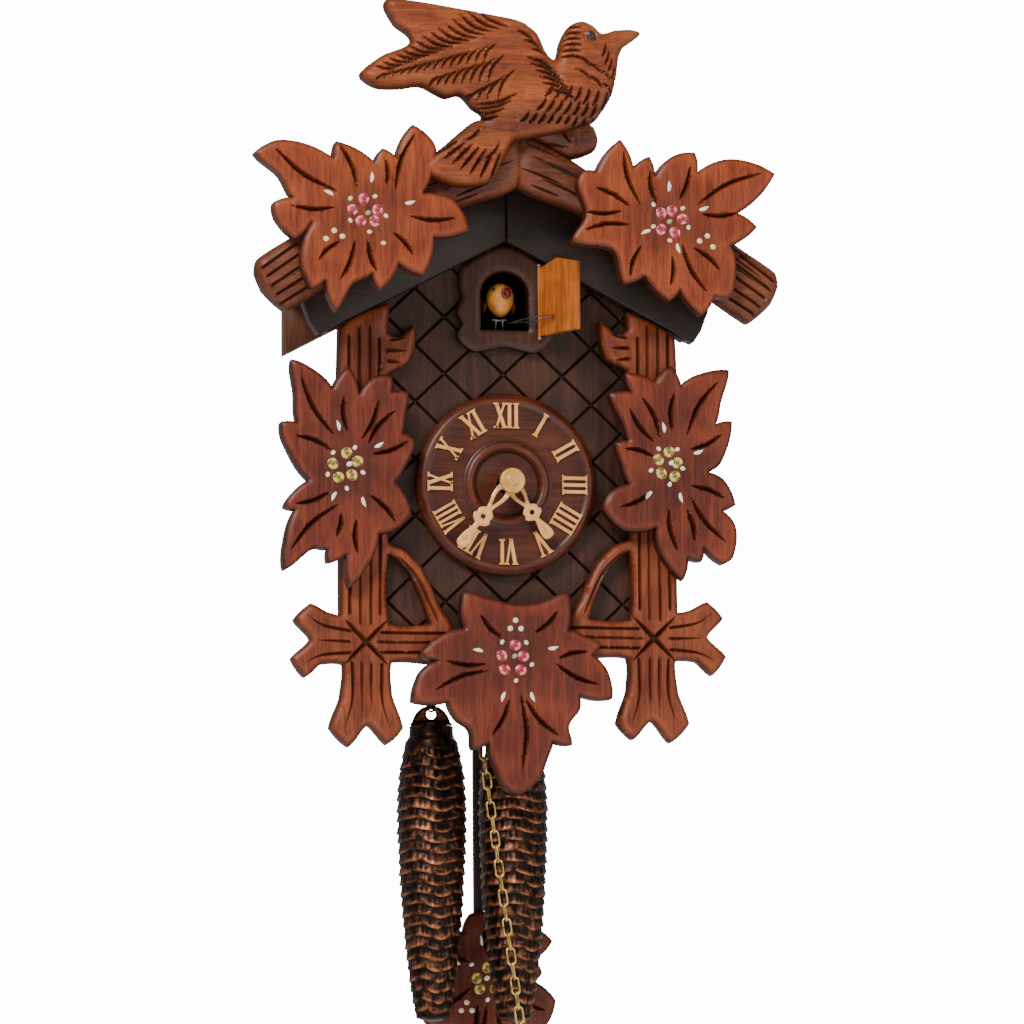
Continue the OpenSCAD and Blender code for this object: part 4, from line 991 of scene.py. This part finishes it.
# ---- Ring round the doorway ----
SURROUND = [[0, 2.2], [-16, -6], [-17, -12], [-16, -17], [-18, -22], [-16, -27], [-18, -31], [-15, -35],
            [-11, -37], [-5, -36], [0, -35], [5, -36], [11, -37], [15, -35], [18, -31], [16, -27], [18, -22],
            [16, -17], [17, -12], [16, -6]]
surround = Relief([SURROUND, doorway(0)], -77, 4, grid=1.3, edge=(1.4, 0.8), swell=(5, 0.0), wave=(10, 0.08),
                  soft=[0.8, 0], seed=42)
surround.build("door_surround_carved", DARK_WOOD, "case", ["door_surround"])
HINGE_X, HINGE_Y = 12.5, -82.1
heap = Heap()
for z in (-31.9, -5.0):
    loop = [(x, y, z) for x, y in ring(HINGE_X, HINGE_Y, 0.85, 16)]
    heap.put(*tube(loop, 0.28, 8, closed=True))
    heap.put(*tube([(HINGE_X, HINGE_Y + 0.8, z), (HINGE_X, HINGE_Y + 2.2, z)], 0.28, 8))
heap.make("door_staples", STEEL, "case")

# ---- Posts with forked arms and feet ----
POST = [[62, -29.8], [44, -20.2], [44, -31], [40, -33], [34, -28], [34, -36], [36, -42], [44, -47],
        [44, -108], [38, -111], [32, -117], [28, -125], [25, -132], [21, -138], [21, -152], [43, -152],
        [43, -164], [39, -176], [45, -182], [52, -175], [59, -183], [66, -176], [62, -165], [61, -153],
        [69, -153], [75, -158], [80, -151], [73, -144], [79, -137], [73, -131], [67, -134], [62, -135]]
VINE_GAP = [[44, -113], [37, -118], [33, -126], [30, -134], [29, -138], [44, -138]]
BOARD_DROP, AIR = 25.5, 0.4
# Half width, depth and taper of each kind of groove, before the posts widen and deepen it.
GROOVE, FINE = (0.5, 0.8, "all"), (0.45, 0.6, "all")
GROOVE_END, FINE_END = (0.5, 0.8, "end"), (0.45, 0.6, "end")
CROSS, NICK = (0.75, 1.3, "both"), (0.6, 0.9, "end")
POST_CUTS = [([[47.5, -34], [47.5, -134]], GROOVE), ([[51, -30], [51, -138]], FINE),
             ([[55, -30], [55, -138]], FINE), ([[58.8, -33], [58.8, -134]], GROOVE),
             ([[22, -141.5], [47, -141.5]], GROOVE), ([[22, -145], [48, -145]], FINE),
             ([[22, -148.6], [47, -148.6]], GROOVE), ([[59, -141], [69, -139], [75, -135]], GROOVE_END),
             ([[59, -145], [72, -144.5]], (0.45, 0.7, "end")),
             ([[59, -149], [69, -150], [76, -153]], GROOVE_END),
             ([[47, -153], [47, -166], [44, -177]], GROOVE_END), ([[51, -153], [51, -172]], FINE_END),
             ([[54.5, -153], [54.5, -172]], FINE_END), ([[58, -153], [58, -166], [61, -177]], GROOVE_END),
             ([[44.5, -136.5], [61, -153.5]], CROSS), ([[61, -136.5], [44.5, -153.5]], CROSS),
             ([[43, -34], [37, -33]], NICK), ([[44, -38], [37, -38]], NICK),
             ([[44, -42], [39, -42.5]], NICK),
             ([[41, -113], [34, -121], [29, -131], [26, -138]], (0.6, 0.8, "both"))]
for side, node, right, up in ((-1, "left_post", 0, 0), (1, "right_post", 1.5, 3)):
    move = np.array([right, up], float)
    outline = np.array(POST, float) + move
    for point in outline[:2]:
        point[1] = roof_z(point[0]) - BOARD_DROP - AIR
    cuts = [Cut((np.array(line, float) + move) * [side, 1], 1.45 * half, 1.5 * depth, taper)
            for line, (half, depth, taper) in POST_CUTS]
    gap = (np.array(VINE_GAP, float) + move) * [side, 1]
    post = Relief([outline * [side, 1], gap], PANEL_FACE, 7, cuts, grid=1.4,
                  edge=(1.8, 1.5), swell=(6, 0.5), wave=(14, 0.3), soft=0.35, seed=50 + side)
    post.build(node + "_carved", POST_WOOD, "case", [node], edge_shade=0.6, wear=0.6)

# ---- Dial, numerals, hands ----
DIAL_PROFILE = [(3.7, 3.4), (3.7, 4), (10.6, 4), (11.4, 4.2), (12, 5.2), (12.4, 5.9), (13.2, 6.5), (14, 6.7),
                (14.8, 6.5), (15.5, 5.9), (15.9, 5.45), (16.6, 5.3), (17.2, 5.4), (18, 5.42), (24, 5.25),
                (28.8, 5.1), (29.4, 5.2), (30, 5.6), (30.8, 5.8), (31.6, 5.5), (32.2, 4.9), (33, 4.3),
                (33.5, 3.4), (33.5, 1.4), (33, 0.3), (32.6, 0)]
v, f = turned([(3.7, 0)] + DIAL_PROFILE, 160)
f = f[:-2] + [(k, k + len(DIAL_PROFILE) * 160, (k + 1) % 160 + len(DIAL_PROFILE) * 160, (k + 1) % 160)
              for k in range(160)]
v = faced(v, (HANDS_AT[0], PANEL_FACE, HANDS_AT[1]))
radii = np.hypot(v[:, 0] - HANDS_AT[0], v[:, 2] - HANDS_AT[1])
# Painted shade in the dial's grooves and on its low back edge against the panel.
dark = np.clip(1 - abs(radii - 16.4) / 0.7, 0, 1) + np.clip(1 - abs(radii - 29.2) / 0.7, 0, 1) + \
    np.clip(1 - abs(radii - 11.2) / 0.9, 0, 1) + (v[:, 1] > -78.2) * 0.6
bright = np.clip(1 - abs(radii - 14) / 0.7, 0, 1) * 0.6 + np.clip(1 - abs(radii - 30.8) / 0.6, 0, 1) * 0.6
piece("dial_turned", v, f, DIAL_WOOD, "case", ["dial"], {"shade_and_stain": np.clip(dark, 0, 1) * 0.8, "wear": bright})


def spun(points, turn):
    """Points drawn round the hands' centre at 12 o'clock, turned by turn and put in their place."""
    c, s = math.cos(turn), math.sin(turn)
    return [(x * c - z * s + HANDS_AT[0], x * s + z * c + HANDS_AT[1]) for x, z in points]


def prism(heap, outline, base, rise, bevel=0.14):
    """A flat stroke of a numeral with its front edges eased; outline goes round once."""
    pts = np.array(outline, float)
    middle = pts.mean(0)
    n = len(pts)
    reach = np.maximum(np.linalg.norm(middle - pts, axis=1, keepdims=True), 1e-6)
    inner = pts + (middle - pts) / reach * bevel
    verts = [(p[0], base, p[1]) for p in pts] + [(p[0], base - rise + bevel, p[1]) for p in pts] + \
            [(p[0], base - rise, p[1]) for p in inner]
    faces = []
    for row in (0, n):
        for k in range(n):
            faces.append((row + k, row + (k + 1) % n, row + n + (k + 1) % n, row + n + k))
    faces += [tuple(range(2 * n, 3 * n)), tuple(range(n))[::-1]]
    heap.put(verts, faces)


HALF_H, NUMERAL_R, DIAL_FACE = 4.9, 25.1, PANEL_FACE - 5.15


def bar_outline(x0, x1, width, low=-HALF_H, high=HALF_H):
    return [(x0 - width / 2, low), (x0 + width / 2, low), (x1 + width / 2, high), (x1 - width / 2, high)]


def serif(x, z, width, way):
    half = width / 2
    return [(x - half, z), (x + half, z), (x + half - 0.15, z - way * 0.55), (x + 0.55, z - way * 0.95),
            (x - 0.55, z - way * 0.95), (x - half + 0.15, z - way * 0.55)][::-way]


def letter_i(x):
    return [bar_outline(x, x, 1.25), serif(x, HALF_H, 2.4, 1), serif(x, -HALF_H, 2.4, -1)]


def letter_v(x):
    return [bar_outline(x + 0.15, x - 1.5, 1.3), bar_outline(x + 0.15, x + 1.7, 0.75),
            serif(x - 1.5, HALF_H, 2.3, 1), serif(x + 1.7, HALF_H, 2.0, 1),
            bar_outline(x + 0.15, x + 0.15, 1.2, -HALF_H - 0.2, -HALF_H + 0.7)]


def letter_x(x):
    return [bar_outline(x + 1.6, x - 1.6, 1.35), bar_outline(x - 1.6, x + 1.6, 0.75),
            serif(x - 1.6, HALF_H, 2.2, 1), serif(x + 1.6, HALF_H, 2.0, 1),
            serif(x - 1.6, -HALF_H, 2.0, -1), serif(x + 1.6, -HALF_H, 2.2, -1)]


LETTERS = {"I": (letter_i, 2.5), "V": (letter_v, 4.3), "X": (letter_x, 4.3)}
HOURS = ["I", "II", "III", "IIII", "V", "VI", "VII", "VIII", "IX", "X", "XI", "XII"]
heap = Heap()
for hour, word in enumerate(HOURS, 1):
    total = sum(LETTERS[c][1] for c in word)
    angle = math.radians(-30 * hour)
    squeeze = min(1.0, 9.6 / total)
    at = -total / 2
    layer = 0
    for c in word:
        make, wide = LETTERS[c]
        for outline in make(at + wide / 2):
            upright = [(x * squeeze, z * 0.96 + NUMERAL_R) for x, z in outline]
            prism(heap, spun(upright, angle), DIAL_FACE, 1.0 + 0.03 * layer)
            layer = (layer + 1) % 3
        at += wide
heap.make("numerals_raised", CREAM, "case", ["numerals"], sharp=30)


def hand_loops(length, hub, hole):
    """Outline and holes of a carved hand that points up, from its hub to its blunt tip."""
    s = length / 31
    half = [(2.5, 2.4), (2.9, 5), (2.6, 8), (1.7, 11), (1.25, 13.2), (2.2, 14), (3.1, 15.2), (2.9, 16.6),
            (3.6, 17.8), (2.9, 19.2), (1.9, 19.9), (0.95, 20.6), (1.15, 22.4), (1.9, 25.5), (2.2, 28),
            (1.9, 30.2), (0.7, 31)]
    outline = [(w, v * s) for w, v in half] + [(-w, v * s) for w, v in reversed(half)]
    start = math.asin(min(1, 2.4 * s / hub)) if 2.4 * s < hub else math.pi / 2
    sweep = np.linspace(math.pi - start + 0.25, TAU + start - 0.25, 22)
    around = [(hub * math.cos(a), hub * math.sin(a)) for a in sweep]
    eyelet = ring(0, 16.9 * s, 0.95, 14)
    gap = [(0.0, hub + 0.9), (1.25, 5.6 * s), (1.2, 8 * s), (0.5, 10.6 * s), (0, 11.6 * s), (-0.5, 10.6 * s),
           (-1.2, 8 * s), (-1.25, 5.6 * s)]
    return outline + around, [ring(0, 0, hole, 20), eyelet, gap]


def hand(node, length, hub, hole, clockwise, back, body):
    """A carved hand: the relief is cut in the hand's own plane, then turned to its hour."""
    outline, holes = hand_loops(length, hub, hole)
    turn = math.radians(-clockwise)
    blade = [Cut(spun([(0, length * 0.72), (0, length * 0.95)], turn), 0.4, 0.25)]
    loops = [spun(loop, turn) for loop in [outline] + holes]
    board = Relief(loops, back, 1.15, blade, grid=0.7, edge=(0.5, 0.35),
                   swell=(2, 0.1), wave=(6, 0.03), soft=[0.6, 0.9, 0.9, 0.7], step=0.5, seed=61)
    board.build(node + "_carved", HAND_CREAM, body, [node], edge_shade=0.3, wear=0)


hand("hour_hand", 25, 3.8, 2.62, 143, -86.5, "hour")
hand("minute_hand", 31, 2.9, 1.42, 219, -89.5, "minute")
v, f = turned([(1.4, 0), (3.9, 0), (4.5, 0.25), (4.7, 0.7), (4.7, 1.5), (4.4, 2.1), (3.7, 2.4), (3.3, 2.35),
               (3.1, 2.15), (2.2, 2.15), (2.0, 2.3), (1.9, 2.75), (1.6, 2.95), (0.9, 3.0), (0.7, 2.7),
               (0.1, 2.6)], 72)
piece("hand_nut_turned", faced(v, (HANDS_AT[0], -90.5, HANDS_AT[1])), f, NUT, "minute", ["hand_nut"])

# ---- Cuckoo, its wires and door ----
BIRD_AT = np.array([0, -71.5, -17.5])


def ball(centre, radii, rings=20, spokes=28, press=None):
    """An egg-like closed form; press reshapes unit-sphere points."""
    verts = [(0, 0, 1)]
    for i in range(1, rings):
        a = math.pi * i / rings
        verts += [(x, y, math.cos(a)) for x, y in ring(0, 0, math.sin(a), spokes)]
    verts = np.array(verts + [(0, 0, -1)], float)
    if press:
        verts = press(verts)
    last, low = len(verts) - 1, 1 + (rings - 2) * spokes
    faces = cap(spokes) + strips(rings - 1, spokes, 1, flip=True)
    faces += [(last, low + (k + 1) % spokes, low + k) for k in range(spokes)]
    return verts * np.array(radii) + np.array(centre), faces


def wing(side):
    """A press that bows a wing's lower half back and its middle outwards."""
    def press(v):
        v = v.copy()
        v[:, 1] += 0.35 * v[:, 2] ** 2 * np.where(v[:, 2] < 0, 1, 0.2)
        v[:, 0] += side * 0.25 * (1 - v[:, 1] ** 2)
        return v

    return press


def plump(v):
    """A press that gives the body its round breast and leaning head."""
    v = v.copy()
    v[:, 0] *= 1 + 0.16 * v[:, 2]
    v[:, :2] *= (1 + 0.12 * (1 - v[:, 2:3] ** 2))
    v[:, 1] -= 0.16 * v[:, 2] ** 2
    return v


v, f = ball(BIRD_AT + [0.2, 0.8, 1.0], (4.5, 4.2, 6.3), press=plump)
# The body is darker towards the bottom.
body_darker_below = np.clip((BIRD_AT[2] - 3.2 - v[:, 2]) / 3, 0, 0.9)
piece("cuckoo_shape", v, f, BIRD_PAINT, "cuckoo", ["cuckoo"], {"shade_and_stain": body_darker_below})
heap = Heap()
v, f = turned([(0.1, -0.6), (1.2, -0.5), (1.75, 0.6), (1.9, 2.0), (1.75, 2.9), (1.45, 3.0), (1.25, 2.4),
               (0.9, 1.0), (0.1, 0.7)], 28)
v[:, 1] *= 1.25
heap.put(faced(v, BIRD_AT + [1.5, -3.2, 3.1]), f)
heap.make("cuckoo_beak", MOUTH_PAINT, "cuckoo")
heap = Heap()
for x, y in ((-2.9, -2.7), (4.1, -1.6)):
    heap.put(*ball(BIRD_AT + [x, y, 4.6], (0.62, 0.5, 0.62), 10, 14))
heap.make("cuckoo_eyes", BLACK_PAINT, "cuckoo")
heap = Heap()
for side in (-1, 1):
    heap.put(*ball(BIRD_AT + [side * 5.3, 3.2, -1.2], (0.7, 3.6, 2.2), 14, 20, wing(side)))
heap.make("cuckoo_wings_shape", WING_PAINT, "cuckoo", ["cuckoo_wings"])

heap = Heap()
for x in (-1.5, 1.5):
    leg = [(x, -61, -41), (x, -64, -39), (x, -67.5, -32), (x * 0.9, -69.6, -26.5), (x * 0.8, -70.5, -23.4)]
    heap.put(*tube(leg, 0.5, 10))
heap.put(*tube([(-11.5, -61, -41), (0, -61, -41), (11.5, -61, -41)], 0.98, 20))
heap.put(*tube([(-2.6, -70, -23.6), (0, -70, -23.9), (2.6, -70, -23.6)], 0.55, 10))
heap.make("cuckoo_arm_wires", STEEL, "cuckoo", ["cuckoo_arm"])

DOOR_OPEN, LINK_Z = math.radians(115), -25
ALONG_DOOR = np.array([math.cos(DOOR_OPEN), math.sin(DOOR_OPEN)])
STAPLE = np.array([HINGE_X - 10 * ALONG_DOOR[0] - 0.9 * ALONG_DOOR[1],
                   HINGE_Y - 10 * ALONG_DOOR[1] + 0.9 * ALONG_DOOR[0], LINK_Z])
LINK_END = np.array([2.2, -74.6, LINK_Z])
heap = Heap()
for lift in (-0.75, 0.75):
    pts = []
    for t in np.linspace(0, 1, 14):
        bow = lift * math.sin(math.pi * min(1, 0.12 + t * 0.95)) - 0.5 * t
        pts.append(STAPLE + (LINK_END - STAPLE) * t + np.array([0, 0, bow]))
    heap.put(*tube(pts, 0.22, 8))
heap.make("door_link_wires", STEEL, "door_link", ["door_link"])
soften("cuckoo_door", DOOR_WOOD, "cuckoo_door", 0.45)

# ---- Chains ----
WIRE_R, PITCH = 0.425, 5.4
LINK_L, LINK_W = PITCH + 1.8, 3.7
CHAIN_Y = -46.0


def link_shape():
    """One oval link in its own X-Z plane, long way up."""
    r, leg = (LINK_W - 2 * WIRE_R) / 2, (LINK_L - LINK_W) / 2
    path = [(r * math.cos(a), 0, leg + r * math.sin(a)) for a in np.linspace(0, math.pi, 11)]
    path += [(-r, 0, leg * (1 - 2 * t)) for t in (0.25, 0.5, 0.75)]
    path += [(r * math.cos(a), 0, -leg + r * math.sin(a)) for a in np.linspace(math.pi, TAU, 11)]
    path += [(r, 0, leg * (2 * t - 1)) for t in (0.25, 0.5, 0.75)]
    return tube(path, WIRE_R, 10, closed=True)


LINK = link_shape()


def path_point(path, s):
    for a, b in zip(path[:-1], path[1:]):
        step = np.linalg.norm(b - a)
        if s <= step:
            return a + (b - a) * s / step
        s -= step
    return path[-1] + (path[-1] - path[-2]) / np.linalg.norm(path[-1] - path[-2]) * s


def chain(heap, path, count):
    """Links on a path, every second one turned a quarter."""
    path = [np.array(p, float) for p in path]
    for n in range(count):
        a, b = path_point(path, n * PITCH), path_point(path, (n + 1) * PITCH)
        way = (b - a) / np.linalg.norm(b - a)
        lean = math.acos(max(-1, min(1, way[2])))
        side = 0.0 if math.degrees(lean) > 179.9 else math.atan2(way[1], way[0])
        roll = math.radians(n % 2 * 90) + side
        turn = Quaternion((0, 0, 1), side) @ Quaternion((0, 1, 0), lean) @ Quaternion((0, 0, 1), roll)
        heap.put(LINK[0] @ np.array(turn.to_matrix()).T + (a + b) / 2, LINK[1])


ARBOR_GAP = 18
SPROCKET_R = 7.5
TIME_X, STRIKE_X = -14.0, 16.5
GREAT_Z = HANDS_AT[1] - math.sqrt(ARBOR_GAP ** 2 - TIME_X ** 2)
STRAND_TOP = GREAT_Z - 0.8 + PITCH / 2
PULL_LINKS, WEIGHT_LINKS = 43, 13
RING_R, RING_BAR = 6, 0.8
LEFT_PULL_X, RIGHT_PULL_X, CHAIN_EXIT = TIME_X + SPROCKET_R, STRIKE_X + SPROCKET_R, -140
PULL = {"left_pull_chain": [(LEFT_PULL_X, CHAIN_Y, STRAND_TOP), (LEFT_PULL_X, CHAIN_Y, CHAIN_EXIT),
                            (-5, -61, -184), (8, -61.5, -282), (8, -61.5, -400)],
        "right_pull_chain": [(RIGHT_PULL_X, CHAIN_Y, STRAND_TOP), (RIGHT_PULL_X, CHAIN_Y, CHAIN_EXIT),
                             (16, -28.5, -186), (14, -28.5, -400)]}
for node, path in PULL.items():
    heap = Heap()
    chain(heap, path, PULL_LINKS)
    last = path_point([np.array(p, float) for p in path], (PULL_LINKS - 0.5) * PITCH)
    low = last - [0, 0, LINK_L / 2 - 2 * WIRE_R + RING_R - RING_BAR - 0.1]
    loop = [low + [0, y, z] for y, z in ring(0, 0, RING_R, 48)]
    heap.put(*tube(loop, RING_BAR, 12, closed=True))
    heap.make(node + "_links", CHAIN, node, [node])

# ---- Pine cone weights ----
EYE_R = 1.9
EYE_Z = STRAND_TOP - WEIGHT_LINKS * PITCH + PITCH / 2 - (LINK_L - 2 * WIRE_R) / 2 - EYE_R + WIRE_R + 0.4
CONE = [(0, -3), (5, -3.2), (7.9, -5), (8.2, -8.4), (9.6, -10.2), (10.3, -14), (11.7, -21), (12.5, -32),
        (12.4, -44), (11.9, -56), (11.0, -72), (9.6, -88), (7.8, -102), (6.0, -112), (0, -113)]
LUG = [(-7.4, -5), (-7.0, -2.6), (-5.6, 0.3), (-3.2, 2.4), (0, 3.3), (3.2, 2.4), (5.6, 0.3), (7.0, -2.6),
       (7.4, -5)]
ROWS, PER_ROW, SCALE_TOP, SCALE_LOW = 25, 9, -12.5, -110.0


def cone(x, seed):
    """Body of a cast pine cone with rows of overlapping scales, and where it is worn bright or stays dark."""
    dice = random.Random(seed)
    jitter = [[dice.uniform(-1, 1) for _ in range(PER_ROW)] for _ in range(ROWS + 2)]
    depth = np.array([p[1] for p in CONE], float)
    wide = np.array([p[0] for p in CONE], float)
    spokes, steps = 126, 250
    zs = np.concatenate([np.linspace(-3, -12, 18), np.linspace(-12.4, -111.5, steps), [-112.4, -112.95]])
    angles = np.linspace(0, TAU, spokes, False)
    z, a = np.meshgrid(zs, angles, indexing="ij")
    radius = np.interp(-z, -depth, wide)
    row_place = (SCALE_TOP - z) / (SCALE_TOP - SCALE_LOW) * ROWS
    around = a / TAU * PER_ROW
    wavy = 0.16 * np.sin(a * 3 + seed) + 0.1 * np.sin(a * 5 + 2 * seed)
    row_place = row_place + wavy
    row = np.floor(row_place)
    across = around + 0.5 * (row % 2)
    u = (across - np.floor(across)) * 2 - 1
    which = np.floor(across).astype(int) % PER_ROW
    random_lift = np.array(jitter)[np.clip(row, 0, ROWS).astype(int), which]
    v = row_place - row
    lip = 0.80 - 0.22 * u ** 2 + 0.05 * random_lift
    rise = np.clip(v / lip, 0, 1) ** 1.4
    fall = np.clip(1 - (v - lip) / (1.02 - lip), 0, 1) ** 0.7
    lift = np.where(v < lip, rise, fall) * (1 - 0.45 * u ** 2) * (1 + 0.2 * random_lift)
    on = np.clip((SCALE_TOP - z) / 1.5, 0, 1) * np.clip((z + 111) / 3, 0, 1)
    size = np.clip(radius / 12, 0.4, 1)
    scaled = radius - 0.3 * on + 0.85 * lift * on * size
    ridge = 0.12 * np.sin(u * 9) * on * (v < lip)
    scaled = scaled + ridge
    height = EYE_Z + z - 0.6 * lift * on * size
    verts = np.stack([x + scaled * np.cos(a), CHAIN_Y + scaled * np.sin(a), height], 2).reshape(-1, 3)
    faces = strips(len(zs), spokes, flip=True) + [lid[::-1] for lid in lids(len(zs), spokes)]
    worn = np.clip(lift * 1.6 - 0.95, 0, 1) * on
    dark = np.clip(0.95 - lift * 1.25, 0, 1) * on + (1 - on) * 0.8
    return verts, faces, worn.ravel(), np.clip(dark, 0, 1).ravel()


for node, x, seed in (("left_weight", TIME_X - SPROCKET_R, 3), ("right_weight", STRIKE_X - SPROCKET_R, 8)):
    verts, faces, worn, dark = cone(x, seed)
    piece(node + "_cone", verts, faces, IRON, node, [node], {"wear": worn, "shade_and_stain": dark}, sharp=60)
    lug = [np.array(LUG, float) + (x, EYE_Z), np.array(ring(0, 0, EYE_R, 28)) + (x, EYE_Z)]
    Relief(lug, CHAIN_Y + 0.9, 1.8, grid=0.7, edge=(0.8, 0.5), swell=(5, 0.0), wave=(5, 0.0), soft=(0.9, 0.9),
           step=0.5).build(node + "_lug", IRON, node, edge_shade=0.5)
    heap = Heap()
    for low, high, wide, deep in ((-4.4, -2.6, 7.7, 3.4), (-5.6, -4.0, 8.0, 7.6)):
        v, f = turned([(0.1, low), (wide, low), (wide + 0.2, (low + high) / 2), (wide - 0.5, high - 0.3),
                       (wide - 1.4, high), (0.1, high + 0.2)], 48)
        v[:, 1] *= deep / wide
        heap.put(v + [x, CHAIN_Y, EYE_Z], f)
    heap.make(node + "_collar", IRON, node, values={"shade_and_stain": np.full(heap.count, 0.7)})
    heap = Heap()
    chain(heap, [(x, CHAIN_Y, STRAND_TOP), (x, CHAIN_Y, STRAND_TOP - 100)], WEIGHT_LINKS)
    heap.make(node + "_chain", CHAIN, node)

# ---- Boards, cover and the movement keep their CAD shapes ----
for node, material, width, body in (
        ("left_side", SIDE_WOOD, 0.6, "case"), ("right_side", SIDE_WOOD, 0.6, "case"),
        ("case_floor", SIDE_WOOD, 0.4, "case"), ("back_rail", SIDE_WOOD, 0.5, "case"),
        ("roof_left", ROOF_WOOD, 0.6, "case"), ("roof_right", ROOF_WOOD, 0.6, "case"),
        ("gable_fascia", FASCIA_WOOD, 0.7, "case"), ("back_cover", RAW_WOOD, 0.3, "back_cover"),
        ("pendulum_rod", ROD_WOOD, 0.5, "pendulum"), ("whistle_boxes", RAW_WOOD, 0.3, "case"),
        ("left_bellows_lid", RAW_WOOD, 0.3, "left_bellows"),
        ("right_bellows_lid", RAW_WOOD, 0.3, "right_bellows")):
    soften(node, material, body, width)
KEPT = {
    BRASS: ["hanger_plate", "front_plate", "back_plate", "back_latch", "centre_wheel", "hour_wheel",
            "minute_wheel", "great_wheel", "second_wheel", "escape_wheel", "strike_wheel", "pin_wheel"],
    CHAIN: ["time_sprocket", "strike_sprocket"], STEEL: ["gong", "anchor", "fly", "hammer"],
    CLOTH: ["left_bellows_cloth", "right_bellows_cloth"],
}
for material, names in KEPT.items():
    for node in names:
        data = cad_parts[node].data
        data.materials.clear()
        data.materials.append(material)

# ---- Floor ----
FLOOR_HALF, FLOOR_Z = 9.0, -2.2
corners = [(x * FLOOR_HALF, y * FLOOR_HALF, FLOOR_Z) for x, y in ((-1, -1), (1, -1), (1, 1), (-1, 1))]
floor_data = bpy.data.meshes.new("floor")
floor_data.from_pydata(corners, [], [(0, 1, 2, 3)])
floor_material, floor_tree, floor_shader = blank("pale_floor")
value_of(floor_shader, Roughness=0.8, Emission_Color=(1, 1, 1, 1), Emission_Strength=0.45)
pale = ramp(floor_tree, noise(floor_tree, (3, 3, 3)), [(0.3, (0.9, 0.9, 0.89)), (0.7, (0.94, 0.94, 0.93))])
floor_tree.links.new(pale, floor_shader.inputs["Base Color"])
floor_data.materials.append(floor_material)
floor = bpy.data.objects.new("floor", floor_data)
bpy.context.collection.objects.link(floor)
